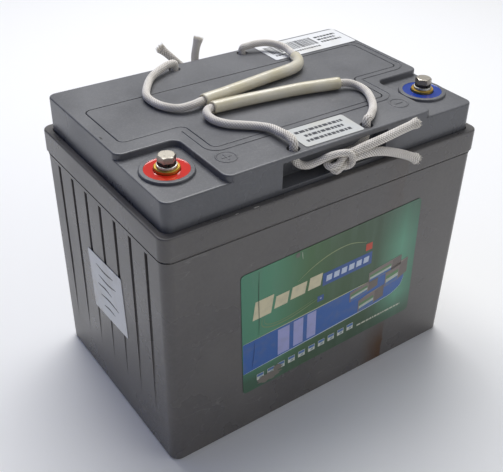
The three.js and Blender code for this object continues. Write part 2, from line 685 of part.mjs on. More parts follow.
const REAR_KNOT = {
  outward: 1,
  centre: [-8, 10.5, 9],
  strands: [
    [...holeEnd(-1), [-28, 2, 12], [-23, 5, 9.8], [-17, 8, 9.4], [-12, 9.5, 9]],
    [...holeEnd(1), [27.5, 1.6, 12], [21, 4, 9], [8, 7.5, 8.6], [-4, 9.5, 9]],
    [[-10, 11, 9.5], [-14, 13.6, 13], [-19, 15.4, 19], [-25, 17, 25.5], [-30.5, 18, 31]],
    [[-6, 11, 9.5], [-4.5, 13.8, 13.5], [-3, 15.6, 20], [-1, 17, 26], [1.5, 18, 32]],
  ],
};

function knot(name, { outward, centre, strands }) {
  const place = ([x, out, z]) => new THREE.Vector3(x, outward * (holeY + out), slotFloor + z);
  const ball = new THREE.SphereGeometry(0.5, 14, 10).scale(...KNOT_SIZE.toArray());
  const middle = place(centre);
  const tubes = strands.map((strand) => {
    const curve = curveThrough(strand.map(place));
    const steps = Math.ceil(curve.getLength() / (1.1 * ROPE));
    return alongCurve(curve, ROPE / 2, steps, 8);
  });
  const body = join([ball.translate(middle.x, middle.y, middle.z), ...tubes]);
  return part(`${name}_rope_knot`, geometryOf(body), rope);
}

// ---------------------------------------------------------------- labels

const sheet = ({ length, height, corner }) => slab(rectangle(length / 2, height / 2, corner), 0, LABEL);
const wallLean = Math.atan(WALL_DRAFT / rimFoot);
const wallYAt = (z) => wallXAt(z) - halfLength + halfWidth;

// Stuck on the front wall, which leans back a little towards the base.
function frontLabel() {
  const { x, rise } = FRONT_LABEL;
  const z = rimFoot / 2 + rise;
  const mesh = part('front_label', sheet(FRONT_LABEL), printedFilm, x, -wallYAt(z) - LABEL_GAP, z);
  mesh.rotation.set(Math.PI / 2 + wallLean, 0, 0);
  mesh.rotateZ(THREE.MathUtils.degToRad(FRONT_LABEL.tilt));
  return mesh;
}

// Stuck on the left end wall, across the grooves.
function endSticker() {
  const z = rimFoot / 2 + END_STICKER.rise;
  const mesh = part('end_sticker', sheet(END_STICKER), paper, -wallXAt(z) - LABEL_GAP, END_STICKER.y, z);
  mesh.rotation.set(0, -Math.PI / 2 - wallLean, 0);
  mesh.rotateZ(THREE.MathUtils.degToRad(90 + END_STICKER.tilt));
  return mesh;
}

function lidLabel(name, label, x, y) {
  const mesh = part(name, sheet(label), paper, x, y, lidTop + LABEL_GAP);
  mesh.rotation.z = THREE.MathUtils.degToRad(label.tilt);
  return mesh;
}

// ---------------------------------------------------------------- assembly

const battery = new THREE.Group();
battery.add(part('case', batteryCase(), caseGrey));
battery.add(part('lid', lid(), lidGrey));
battery.add(part('vent_cover', ventCover(), lidGrey));
for (let index = 0; index < CELLS; index += 1) battery.add(cell(index));
for (let index = 1; index < CELLS; index += 1) {
  battery.add(part(`intercell_connector_${index}`, intercellConnector(index), lead));
}
battery.add(terminal('positive', -1, redResin), terminal('negative', 1, blueResin));
battery.add(...handle('front', FRONT_LOOP), knot('front', FRONT_KNOT));
battery.add(...handle('rear', REAR_LOOP), knot('rear', REAR_KNOT));
battery.add(frontLabel(), endSticker());
battery.add(lidLabel('type_label', TYPE_LABEL, TYPE_LABEL.x, -lidY + TYPE_LABEL.in));
const barcodeX = lidX - BARCODE_LABEL.inX;
battery.add(lidLabel('barcode_label', BARCODE_LABEL, barcodeX, lidY - BARCODE_LABEL.in));

export default battery;
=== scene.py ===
# %% [markdown]
# A deep cycle battery, dressed
#
# The measured model of the battery is loaded as a fixed frame. It holds every size and
# everything that moves. This lesson gives it its surfaces: the rounded edges of moulded
# plastic, braided rope, poured resin, plated bolts and printed labels. Each new piece is a
# surface worked out with numpy, and each finish is a small tree of shader nodes.
#
# Lengths are in metres, as Blender counts them. MM turns millimetres into metres.

# %% Load the frame
import functools
import math

import bmesh
import bpy
import numpy as np
from mathutils import Matrix, Vector


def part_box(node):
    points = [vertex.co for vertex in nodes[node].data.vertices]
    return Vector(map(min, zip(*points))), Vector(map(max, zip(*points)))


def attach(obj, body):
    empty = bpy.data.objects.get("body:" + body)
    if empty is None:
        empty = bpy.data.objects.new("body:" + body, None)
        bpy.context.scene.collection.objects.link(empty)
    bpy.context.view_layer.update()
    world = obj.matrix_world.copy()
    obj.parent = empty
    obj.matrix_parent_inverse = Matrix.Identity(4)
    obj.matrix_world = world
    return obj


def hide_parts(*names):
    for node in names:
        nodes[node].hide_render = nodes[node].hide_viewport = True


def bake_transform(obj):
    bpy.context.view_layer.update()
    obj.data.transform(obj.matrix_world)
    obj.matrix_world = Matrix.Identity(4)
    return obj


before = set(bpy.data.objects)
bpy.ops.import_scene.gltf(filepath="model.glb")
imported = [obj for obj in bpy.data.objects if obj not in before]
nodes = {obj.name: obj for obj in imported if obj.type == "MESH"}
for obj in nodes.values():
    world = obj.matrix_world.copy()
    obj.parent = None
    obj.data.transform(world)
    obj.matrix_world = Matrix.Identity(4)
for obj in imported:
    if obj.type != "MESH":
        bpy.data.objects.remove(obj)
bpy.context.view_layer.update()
MM = 0.001

# %% [markdown]
# The camera comes first, because everything is judged through it. It stands in front of
# the left corner, looks down by a little over a third of a right angle, and is rolled very
# slightly. Its place, aim, roll and shift are given outright, so that it stays as it is.

# %% The camera
CAMERA_PLACE = Vector((-302.1, -411.5, 446.1)) * MM
CAMERA_AIM = Vector((0.50662, 0.65377, -0.56207))
CAMERA_ROLL = math.radians(2.52)
LENS = 57.6
SENSOR = 36.0
SHIFT = (-0.0533, -0.0090)
NEAREST = 10 * MM

camera_data = bpy.data.cameras.new("camera")
camera_data.lens = LENS
camera_data.sensor_width = SENSOR
camera_data.shift_x, camera_data.shift_y = SHIFT
camera_data.clip_start = NEAREST
camera = bpy.data.objects.new("camera", camera_data)
bpy.context.scene.collection.objects.link(camera)
upright = CAMERA_AIM.to_track_quat("-Z", "Y").to_matrix().to_4x4()
rolled = upright @ Matrix.Rotation(CAMERA_ROLL, 4, "Z")
camera.matrix_world = Matrix.Translation(CAMERA_PLACE) @ rolled
bpy.context.scene.camera = camera
print("camera", round(CAMERA_PLACE.length, 3), "m from the base")

# %% [markdown]
# Nearly every new piece is the same kind of thing: a grid of points, whose rows run along
# the piece and whose columns run round it. One function skins such a grid. It can also give
# each corner its place on a flat map, so that a pattern follows a piece that bends.

# %% Skin a grid of points
def collected(name, mesh, smooth=True):
    """An object for a mesh, linked to the scene, smooth or faceted."""
    mesh.update()
    piece = bpy.data.objects.new(name, mesh)
    bpy.context.scene.collection.objects.link(piece)
    if smooth:
        mesh.shade_smooth()
    return piece


def skin(name, grid, ends=True, flat=None):
    """Four-cornered faces between neighbouring rows and columns of a grid of points.

    The last column is joined to the first, and ends closes the first and last row. flat
    is a matching grid of (u, v), one column wider.
    """
    rows, columns = grid.shape[:2]
    index = np.arange(rows * columns).reshape(rows, columns)
    wrapped = np.concatenate([index, index[:, :1]], axis=1)
    left, right = wrapped[:, :-1], wrapped[:, 1:]
    quads = np.stack([left[:-1], right[:-1], right[1:], left[1:]], axis=-1).reshape(-1, 4)
    faces = quads.tolist()
    if ends:
        faces += [index[0, ::-1].tolist(), index[-1].tolist()]
    mesh = bpy.data.meshes.new(name)
    mesh.from_pydata(grid.reshape(-1, 3).tolist(), [], faces)
    if flat is not None:
        corners = np.stack([flat[:-1, :-1], flat[:-1, 1:], flat[1:, 1:], flat[1:, :-1]], axis=2)
        layer = mesh.uv_layers.new(name="UVMap")
        values = np.zeros((len(mesh.loops), 2), np.float32)
        values[: quads.size] = corners.reshape(-1, 2)
        layer.data.foreach_set("uv", values.ravel())
    return collected(name, mesh)


def attribute(piece, name, values):
    """One number for each point of a piece, which its material can read by name."""
    layer = piece.data.attributes.new(name, "FLOAT", "POINT")
    layer.data.foreach_set("value", values.ravel().astype(np.float32))

# %% [markdown]
# A rope or a tube is a circle carried along a path. The path is a smooth curve through a
# few chosen points. A centripetal Catmull-Rom curve is right here, because it passes
# through every point and never loops between two that lie close together, as in a knot.
# The circle has to ride along without twisting, so each ring's sideways direction is the
# last one's with the new direction of travel taken out of it.

# %% Curves and carried circles
STEPS_BETWEEN_POINTS = 24


def full_turn(steps):
    """The angles of a full turn, in equal steps from nought."""
    return np.linspace(0, 2 * np.pi, steps, endpoint=False)


def length_along(path):
    """How far along the path each of its points lies."""
    return np.concatenate([[0], np.cumsum(np.linalg.norm(np.diff(path, axis=0), axis=1))])


def smooth_path(points, spacing):
    """A centripetal Catmull-Rom curve through the points, as points `spacing` apart.

    The knots k grow by the root of the distance between points. At t the curve is a blend
    of blends, each ((k_b - t) x one + (t - k_a) x the next) / (k_b - k_a).
    """
    points = np.asarray(points, float)
    padded = np.vstack([2 * points[0] - points[1], points, 2 * points[-1] - points[-2]])
    knots = np.concatenate([[0], np.cumsum(np.sqrt(np.linalg.norm(np.diff(padded, axis=0), axis=1)))])
    share = np.linspace(0, 1, STEPS_BETWEEN_POINTS, endpoint=False)[:, None]
    pieces = []
    for i in range(1, len(padded) - 2):
        k = knots[i - 1:i + 3]
        t = k[1] + share * (k[2] - k[1])
        blend = padded[i - 1:i + 3]
        for pairs in ([(0, 1), (1, 2), (2, 3)], [(0, 2), (1, 3)], [(1, 2)]):
            blend = [((k[b] - t) * blend[n] + (t - k[a]) * blend[n + 1]) / (k[b] - k[a])
                     for n, (a, b) in enumerate(pairs)]
        pieces += blend
    dense = np.vstack(pieces + [points[-1:]])
    along = length_along(dense)
    steps = np.linspace(0, along[-1], int(round(along[-1] / spacing)) + 1)
    return np.stack([np.interp(steps, along, dense[:, k]) for k in range(3)], axis=1)


def side_vectors(path):
    """Two directions across the path at each point, carried along it without a twist."""
    travel = np.gradient(path, axis=0)
    travel /= np.linalg.norm(travel, axis=1, keepdims=True)
    side = np.cross(travel[0], [0.1, 0.2, 1.0])
    sides = []
    for direction in travel:
        side = side - direction * (side @ direction)
        side = side / np.linalg.norm(side)
        sides.append(side)
    sides = np.array(sides)
    return sides, np.cross(travel, sides)


def carried(path, radius, columns):
    """A circle carried along a path: point + radius x (cos a x side + sin a x other side)."""
    sides, others = side_vectors(path)
    angle = full_turn(columns)[None, :, None]
    reach = np.broadcast_to(radius, (len(path), columns))[:, :, None]
    across = np.cos(angle) * sides[:, None] + np.sin(angle) * others[:, None]
    return path[:, None] + reach * across

# %% [markdown]
# Each carrying handle is one piece of braided polyester rope. It starts as a loose end,
# goes through the knot in its slot, up through a hole in the lid, round in a loop through
# its plastic grip, down the other hole, and through the knot again to its other loose end.
# The two ropes are made before anything else, because their routes have to fit the frame.
#
# The points of a loop are [x, distance from the holes towards the middle of the lid, height
# above a rope that lies on the lid]. The points of a slot are [x, distance outwards from
# the holes, height above the slot's floor]. All are in millimetres.

# %% The places the ropes start from
lid_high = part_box("lid")[1]
HOLE_FROM_FACE = 7.3 * MM
ROPE = 5.6 * MM
REST_GAP = 0.3 * MM
SLOT_FLOOR_ABOVE_LEDGE = 3 * MM
HOLE_X = 29.8
PIVOT_RISE = 0.8
lid_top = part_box("vent_cover")[1].z
hole_y = lid_high.y - HOLE_FROM_FACE
rope_rest = lid_top + REST_GAP + ROPE / 2
slot_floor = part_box("case")[1].z + SLOT_FLOOR_ABOVE_LEDGE
LIFT = 1.5  # how far a grip holds its rope up, since its wall is that thick
print("holes at y", round(hole_y, 4), "slot floor", round(slot_floor, 4))

# %% The routes of the two loops
FRONT_LOOP = {
    "before": [[-HOLE_X, 0, PIVOT_RISE], [-28.8, 7, 1.8], [-29.3, 15, 1.4], [-30, 23, 0.7],
               [-34.5, 31, 0], [-42.5, 38, 0], [-49.5, 44.5, 0], [-53.8, 53, 0.3],
               [-53.6, 61, LIFT * 0.8], [-50, 65.3, LIFT]],
    "grip": [[-46.5, 66, LIFT], [-25.4, 64.8, LIFT], [-2.7, 62.2, LIFT], [20.6, 59.2, LIFT],
             [39.4, 55, LIFT], [50.5, 52.3, LIFT]],
    "after": [[56, 50, LIFT * 0.8], [59.8, 45.5, 0.4], [60.6, 39, 0], [59.2, 33, 0],
              [55.5, 25.5, 0], [50.7, 18, 0], [44.8, 11, 0.4], [38.5, 5.3, 1.1],
              [33.5, 1.5, 1.1], [HOLE_X, 0, PIVOT_RISE]],
}
REAR_LOOP = {
    "before": [[-HOLE_X, 0, PIVOT_RISE], [-34, 1, 2.1], [-42, 4.2, 1.9], [-55, 11.5, 0.4],
               [-66.5, 25.7, 0], [-72, 35.5, 0], [-73.1, 43.5, 0], [-70.9, 54.8, 0],
               [-63.7, 64, 0.3], [-54, 66, LIFT * 0.8]],
    "grip": [[-45.5, 64.4, LIFT], [-29.3, 62.4, LIFT], [-13.1, 59.9, LIFT], [0, 58, LIFT],
             [14, 55.9, LIFT], [26.8, 54.4, LIFT], [37.2, 52.6, LIFT], [45, 49, LIFT],
             [50.5, 42.5, LIFT], [53.2, 35.5, LIFT]],
    "after": [[54.8, 30, LIFT], [56.2, 24.5, 1.4], [55.7, 19, 2.4], [52.8, 11.5, 3.2],
              [47.5, 5.9, 3.5], [41.5, 3, 3.2], [35, 1.2, 2.2], [HOLE_X, 0, PIVOT_RISE]],
}

# %% The routes through the knots
# Each strand runs from its hole into the knot, round in it, and out along its loose end.
FRONT_KNOT = {
    "left": [[-HOLE_X, 0.3, 17], [-27.6, 2.2, 11.5], [-22.5, 4.6, 9.4], [-15, 6.8, 11],
             [-9, 9.6, 14.2], [-2.5, 12, 15.4], [3.2, 14.6, 15.2], [5.4, 15.8, 11.8],
             [5.4, 15.2, 7.4], [3.8, 11.8, 4.3], [-1, 8.6, 4.8], [-5.2, 10, 4.4],
             [-4.8, 13.2, 4.2], [0.6, 12.6, 6.2], [6, 11.6, 7.6], [13, 12.8, 9.4],
             [22, 14.4, 10.2], [32, 16.2, 8.8], [43, 18.4, 5.2], [52, 19.8, 1.2],
             [58.5, 20.3, -2.5]],
    "right": [[HOLE_X, 0.3, 17], [27.5, 1.6, 11.5], [22, 2.6, 9.5], [13, 3.6, 9],
              [4, 4.4, 9.6], [-4, 5.2, 9.2], [-8.8, 8, 8.2], [-9, 12, 7.8], [-5, 14.2, 9],
              [0, 12.2, 11.2], [5.4, 10.8, 12.2], [12, 11.8, 13.4], [20, 13, 15],
              [35, 13.8, 17], [49, 14, 19], [61, 14.2, 20.3]],
}
REAR_KNOT = {
    "left": [[-HOLE_X, 0.3, 17], [-28, 2, 12], [-23, 5, 9.8], [-17, 8, 10], [-11, 9.5, 13],
             [-5.6, 13, 12.6], [-3.2, 13.6, 8], [-6.4, 9.4, 4.4], [-11.4, 8.2, 5.4],
             [-12.4, 11.6, 8.6], [-14.2, 13.8, 13.6], [-19, 15.4, 19], [-25, 17, 25.5],
             [-30.5, 18, 31]],
    "right": [[HOLE_X, 0.3, 17], [27.5, 1.6, 12], [21, 4, 9], [8, 7, 8.6], [-2, 7.6, 9],
              [-9, 6.6, 9.4], [-14.4, 9, 9], [-13.2, 12.8, 6.6], [-8.4, 13.8, 6.2],
              [-5.4, 12.6, 9.8], [-4.2, 13.8, 14.4], [-3, 15.6, 20], [-1, 17, 26],
              [1.5, 18, 32]],
}


def loop_place(point, front):
    """Metres in the frame of a loop's point; front is -1 for the front handle, 1 for the rear."""
    x, inwards, height = point
    return [x * MM, front * (hole_y - inwards * MM), rope_rest + height * MM]


def slot_place(point, front):
    """Metres in the frame of a point in or outside a knot slot."""
    x, outwards, height = point
    return [x * MM, front * (hole_y + outwards * MM), slot_floor + height * MM]

# %% [markdown]
# Braided rope is two families of yarn that run round it in opposite ways, over and under
# each other. On the flat map of its surface each yarn is a slanted stripe. Where two
# stripes cross, one lies on top, and which one alternates like a chessboard. The height of
# the surface is that of the yarn on top: round across its own width and gently crowned
# along its length. The real yarns are about 0.6 mm wide. They are drawn nearly four
# times as wide, because the finer ones vanish at this size.

# %% Braided rope
YARNS = 8
LAY = 15 * MM
BRAID_DEPTH = 0.42 * MM
ROPE_COLUMNS = 60
ROPE_SPACING = 0.44 * MM
KNOT_SQUEEZE = 0.84
KNOT_EASE = 8 * MM
TAIL_SWELL = 1.1
TAIL_LENGTH = 44 * MM
TAIL_EASE = 14 * MM
END_FLARE = 0.3
FLARE_LENGTH = 7 * MM


def braid_height(turn, along):
    """Height of a braid from 0 in its gaps to 1 on its yarns.

    turn counts turns round the rope and along is in metres. a and b number the stripes of
    the two families. The one on top is chosen by whether the sum of the whole numbers is
    even, and its height is sin(pi a) x sin(pi b)^0.4.
    """
    a = YARNS * (turn + along / LAY)
    b = YARNS * (turn - along / LAY)
    first_on_top = (np.floor(a) + np.floor(b)) % 2 < 1
    wave_a = np.abs(np.sin(np.pi * a))
    wave_b = np.abs(np.sin(np.pi * b))
    return np.where(first_on_top, wave_a * wave_b**0.4, wave_b * wave_a**0.4)


def rope_thickness(path, front):
    """How thick the rope is along its path, as a share: squeezed in its knot, and swollen and
    flared towards its two loose ends, where nothing pulls it tight."""
    along = length_along(path)
    to_end = np.minimum(along, along[-1] - along)
    outwards = front * path[:, 1] - hole_y
    in_knot = np.clip(outwards / KNOT_EASE, 0, 1)
    loose = np.clip(1 - (to_end - TAIL_LENGTH) / TAIL_EASE, 0, 1)
    share = 1 + (KNOT_SQUEEZE - 1) * in_knot * (1 - loose) + (TAIL_SWELL - 1) * loose
    return share + END_FLARE * np.clip(1 - to_end / FLARE_LENGTH, 0, 1) ** 2


def braided_rope(name, loop, knot, front):
    """The whole rope of one handle: a braided tube along one path, from end to end."""
    around = loop["before"] + loop["grip"] + loop["after"]
    middle = [loop_place(point, front) for point in around]
    left = [slot_place(point, front) for point in knot["left"]]
    right = [slot_place(point, front) for point in knot["right"]]
    path = smooth_path(left[::-1] + middle + right, ROPE_SPACING)
    along = length_along(path)
    turn = np.arange(ROPE_COLUMNS) / ROPE_COLUMNS
    height = braid_height(turn[None], along[:, None])
    radius = rope_thickness(path, front)[:, None] * (ROPE / 2 - BRAID_DEPTH * (1 - height))
    across = np.linspace(0, 1, ROPE_COLUMNS + 1)[None]
    flat = np.stack(np.broadcast_arrays(across, along[:, None]), axis=2)
    piece = skin(name, carried(path, radius, ROPE_COLUMNS), flat=flat)
    attribute(piece, "Braid", height)
    print(name, "is", round(along[-1], 3), "m long, with", len(piece.data.polygons), "faces")
    return piece, path


front_rope, front_path = braided_rope("front_rope", FRONT_LOOP, FRONT_KNOT, -1)
rear_rope, rear_path = braided_rope("rear_rope", REAR_LOOP, REAR_KNOT, 1)

# %% [markdown]
# A cut rope end opens like a paint brush. Its yarns are thin curved bristles that leave
# the last ring of the rope, and each leans out a little further than the one inside it.
# They are laid out like the seeds of a sunflower, which fills a circle evenly: each next
# bristle turns by the golden angle, and its distance grows with the square root of its
# number.

# %% Frayed ends
BRISTLES = 90
BRISTLE_RADIUS = 0.24 * MM
BRISTLE_LENGTH = 3.4 * MM
SHORTEST = 0.62
BRISTLE_TAPER = 0.7
ROOT_DEPTH = 1.2 * MM
ROOT_SPREAD = 0.96
TIP_SPREAD = 1.28
LEAN_OUT = 0.24
LEAN_ASTRAY = 0.1
GOLDEN_ANGLE = math.pi * (3 - math.sqrt(5))


def frayed_end(name, path, seed):
    """A brush of bristles at the last point of a path: tubes that taper and lean outwards."""
    sides, others = side_vectors(path)
    forward = path[-1] - path[-4]
    forward = forward / np.linalg.norm(forward)
    random = np.random.default_rng(seed)
    number = np.arange(BRISTLES)
    reach = TIP_SPREAD * ROPE / 2 * np.sqrt((number + 0.5) / BRISTLES)
    angle = number * GOLDEN_ANGLE
    outward = np.cos(angle)[:, None] * sides[-1] + np.sin(angle)[:, None] * others[-1]
    start = path[-1] - ROOT_DEPTH * forward + reach[:, None] * outward * ROOT_SPREAD
    astray = random.normal(0, LEAN_ASTRAY, (BRISTLES, 3))
    lean = LEAN_OUT * (reach / reach.max())[:, None] * outward + astray
    length = BRISTLE_LENGTH * random.uniform(SHORTEST, 1.0, BRISTLES)[:, None]
    share = np.linspace(0, 1, 5)[:, None, None]
    middle = start + share * length * forward + share**2 * length * lean
    ring = full_turn(5)
    circle = np.cos(ring)[:, None] * sides[-1] + np.sin(ring)[:, None] * others[-1]
    thickness = BRISTLE_RADIUS * (1 - BRISTLE_TAPER * share**2)
    points = middle[:, :, None] + thickness[..., None] * circle[None, None]
    return merged(name, [skin("bristle", bristle) for bristle in points.transpose(1, 0, 2, 3)])


def merged(name, pieces):
    """Several objects made into one mesh."""
    print(name, "is made of", len(pieces), "pieces")
    whole = bmesh.new()
    for piece in pieces:
        whole.from_mesh(piece.data)
        bpy.data.objects.remove(piece)
    mesh = bpy.data.meshes.new(name)
    whole.to_mesh(mesh)
    whole.free()
    return collected(name, mesh)


front_frays = [frayed_end("front_rope_fray_lower", front_path[::-1], 1),
               frayed_end("front_rope_fray_upper", front_path, 2)]
rear_frays = [frayed_end("rear_rope_fray_left", rear_path[::-1], 3),
              frayed_end("rear_rope_fray_right", rear_path, 4)]

# %% [markdown]
# Each rope crosses a joint: on the real battery its knot and its ends stay with the lid, and
# its loop lifts with the handle. Here the rope is one piece that stays where it lies: its place
# is fixed into its mesh, the measured loop and knot are hidden, and the frayed ends go with the lid.

ropes = {"front": (front_rope, front_path, front_frays, -1),
         "rear": (rear_rope, rear_path, rear_frays, 1)}
for side, (piece, path, frays, front) in ropes.items():
    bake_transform(piece)
    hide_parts(f"{side}_rope_loop", f"{side}_rope_knot")
    for fray in frays:
        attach(fray, "root")

# %% [markdown]
# Each handle has a grip: a length of clear plastic hose pushed over the rope, so that it
# doesn't cut into the hand. It has yellowed, and it lies where the loop holds it. The hose
# is one closed skin: the outer wall from end to end, then the inner wall back again. It
# isn't quite round, because it was coiled when it was made and it still remembers that.

# %% Two grips
GRIP_OUTER = 8.6 * MM
GRIP_BORE = 6.5 * MM
GRIP_COLUMNS = 40
GRIP_LIP = 0.3 * MM
LIP_LENGTH = 0.8 * MM
OVAL, OVAL_TWIST = 0.02, 30 * MM
WAVE, WAVE_LENGTH = 0.01, 9 * MM


def closed(piece):
    """Merges points that lie on one another, where a skin meets itself, and faces it outwards."""
    work = bmesh.new()
    work.from_mesh(piece.data)
    bmesh.ops.remove_doubles(work, verts=work.verts, dist=0.002 * MM)
    bmesh.ops.recalc_face_normals(work, faces=work.faces)
    work.to_mesh(piece.data)
    work.free()
    piece.data.update()
    return piece


def stretch_between(path, first, last):
    """The points of a path from the one nearest `first` to the one nearest `last`."""
    start = int(np.argmin(np.linalg.norm(path - np.array(first), axis=1)))
    end = int(np.argmin(np.linalg.norm(path - np.array(last), axis=1)))
    return path[min(start, end):max(start, end) + 1]


def hose_grip(name, path, loop, front):
    """A hose with a wall, carried along the stretch of the rope that it covers.

    Its outer radius is R x (1 + oval x cos(2a + along / twist) + wave x sin(along / wave
    length)), and both walls are drawn in at the two cut ends.
    """
    first, last = [loop_place(loop["grip"][number], front) for number in (0, -1)]
    held = stretch_between(path, first, last)[::3]
    along = length_along(held)[:, None]
    angle = full_turn(GRIP_COLUMNS)[None]
    wave = 1 + OVAL * np.cos(2 * angle + along / OVAL_TWIST) + WAVE * np.sin(along / WAVE_LENGTH)
    to_end = np.minimum(along, along[-1] - along)
    rounded = GRIP_LIP * np.clip(1 - to_end / LIP_LENGTH, 0, 1) ** 2
    outer = carried(held, GRIP_OUTER / 2 * wave - rounded, GRIP_COLUMNS)
    inner = carried(held, GRIP_BORE / 2 * np.ones_like(wave) + rounded / 2, GRIP_COLUMNS)
    walls = np.concatenate([outer, inner[::-1], outer[:1]])
    return closed(skin(name, walls, ends=False))


grips = {}
for side, (piece, path, frays, front) in ropes.items():
    loop = FRONT_LOOP if side == "front" else REAR_LOOP
    grip = hose_grip(f"{side}_hose_grip", path, loop, front)
    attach(grip, f"{side}_handle")
    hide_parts(f"{side}_grip")
    grips[side] = grip
    print(grip.name, "covers", len(grip.data.polygons), "faces")

# %% [markdown]
# Moulded plastic has no sharp edges: the tool is cut with a small radius everywhere, or the
# part wouldn't come out of it. The measured case and lid have sharp edges, so each gets a
# dressed copy. The copy's loose triangles are merged into whole faces, a Bevel modifier
# rounds every real edge, and a Weighted Normal modifier keeps the flat faces flat.

# %% Round the edges of a moulded piece
SHARP = math.radians(28)
FLAT = math.radians(0.6)


def rounded_copy(node, name, edge):
    """A copy of a CAD node whose sharp edges are rounded by `edge` metres."""
    work = bmesh.new()
    work.from_mesh(nodes[node].data)
    bmesh.ops.remove_doubles(work, verts=work.verts, dist=0.004 * MM)
    bmesh.ops.dissolve_limit(work, angle_limit=FLAT, verts=work.verts, edges=work.edges)
    mesh = bpy.data.meshes.new(name)
    work.to_mesh(mesh)
    work.free()
    piece = collected(name, mesh)
    bevel = piece.modifiers.new("round", "BEVEL")
    bevel.width = edge
    bevel.segments = 2
    bevel.limit_method = "ANGLE"
    bevel.angle_limit = SHARP
    bevel.use_clamp_overlap = False
    bevel.harden_normals = True
    weighted = piece.modifiers.new("flatten", "WEIGHTED_NORMAL")
    weighted.keep_sharp = True
    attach(piece, "root")
    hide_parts(node)
    return piece


case = rounded_copy("case", "moulded_case", 0.35 * MM)
lid = rounded_copy("lid", "moulded_lid", 0.3 * MM)
cover = rounded_copy("vent_cover", "moulded_vent_cover", 0.2 * MM)
print("case, lid and cover have", [len(p.data.polygons) for p in (case, lid, cover)], "faces")

# %% [markdown]
# Turned parts are made the way a lathe makes them: half of the part's outline, given as
# distances from its axis and heights, is swept once round. The outline goes round the
# solid and comes back to its start, so the ring is closed. Faces that meet at more than a
# chosen angle keep a crisp edge.

# %% A lathe, and crisp edges
COLUMNS = 96


def crisp(piece, degrees=35):
    """Shades a piece smooth, but keeps an edge where its faces meet at a larger angle."""
    piece.data.set_sharp_from_angle(angle=math.radians(degrees))
    return piece


def swept(centre, radius, angle, height):
    """A grid of points round an upright axis, from radii and heights in millimetres."""
    x = centre[0] + radius * np.cos(angle) * MM
    y = centre[1] + radius * np.sin(angle) * MM
    return np.stack(np.broadcast_arrays(x, y, height * MM), axis=2)


def turned(name, outline, centre):
    """A closed outline of [radius, height] in millimetres, swept round an upright axis."""
    print(name, "is turned from", len(outline), "corners")
    outline = np.array(outline + outline[:1])
    grid = swept(centre, outline[:, :1], full_turn(COLUMNS)[None], outline[:, 1:])
    return crisp(closed(skin(name, grid, ends=False)))


def heights(node):
    """The lowest and highest point of a node in millimetres."""
    low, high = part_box(node)
    return low.z / MM, high.z / MM

# %% [markdown]
# Round each terminal the well is filled with epoxy resin, red at the plus and blue at the
# minus. Liquid resin wets the plastic and the metal and climbs them a little before it
# sets. The climb falls off as e^(-distance / fade). The brass face under the washers has
# a small chamfer, and the washers are stamped, so one edge of each is rounder.

# %% Resin, brass faces and flat washers
POST = 8.0
LIP_INNER = 14.0
WASHER_BORE = 3.35
FLAT_WASHER = 6.4
SPRING_WASHER = 5.7
RESIN_SINK = 0.12
POST_CLIMB, WALL_CLIMB, CLIMB_FADE = 0.28, 0.36, 0.9
CHAMFER = 0.45
STAMPED, STAMPED_BULGE = 0.4, 0.12
SIDES = ("positive", "negative")
axes = {}
for sign in SIDES:
    low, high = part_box(f"{sign}_terminal_insert")
    axes[sign] = ((low.x + high.x) / 2, (low.y + high.y) / 2)

fittings = {}
for sign in SIDES:
    centre = axes[sign]
    floor_z, top = heights(f"{sign}_seal_ring")
    reach = np.linspace(POST + 0.32, LIP_INNER - 0.02, 25)
    climb = (POST_CLIMB * np.exp(-(reach - reach[0]) / CLIMB_FADE)
             + WALL_CLIMB * np.exp(-(reach[-1] - reach) / CLIMB_FADE))
    surface = [[r, top - RESIN_SINK + c] for r, c in zip(reach[::-1], climb[::-1])]
    resin = turned(f"{sign}_resin", [[reach[0], floor_z], [reach[-1], floor_z]] + surface, centre)
    low, top = heights(f"{sign}_terminal_insert")
    face = turned(f"{sign}_brass_face",
                  [[WASHER_BORE, top], [WASHER_BORE, low], [POST, low], [POST, top - CHAMFER],
                   [POST - CHAMFER, top]], centre)
    low, top = heights(f"{sign}_flat_washer")
    flat = turned(f"{sign}_plain_washer",
                  [[WASHER_BORE, low], [FLAT_WASHER, low], [FLAT_WASHER, top - STAMPED],
                   [FLAT_WASHER - STAMPED_BULGE, top - STAMPED_BULGE], [FLAT_WASHER - STAMPED, top],
                   [WASHER_BORE, top]], centre)
    fittings[sign] = [resin, face, flat]
    for piece, body, node in [(resin, "root", "seal_ring"), (face, "root", "terminal_insert"),
                              (flat, f"{sign}_washers", "flat_washer")]:
        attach(piece, body)
        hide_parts(f"{sign}_{node}")
    print(sign, "resin, brass and washer at", [round(c, 4) for c in centre])

# %% [markdown]
# A spring washer is one turn of a square wire, cut across. Tightened, it lies nearly flat,
# and its two ends stand a hair apart in height. The bolt is cold-headed: the top of the
# hexagon is turned to a cone at the corners, which leaves an arc on each flat. The cone
# starts just inside the flats and falls at 25 degrees. The M6 thread is a triangle wave of
# the turn and the height together, which is what makes it a screw.

# %% Spring washers
SPLIT = 1.0
SPLIT_ANGLE = -1.9
COIL_STEP = 0.12
WIRE_EDGE = 0.18


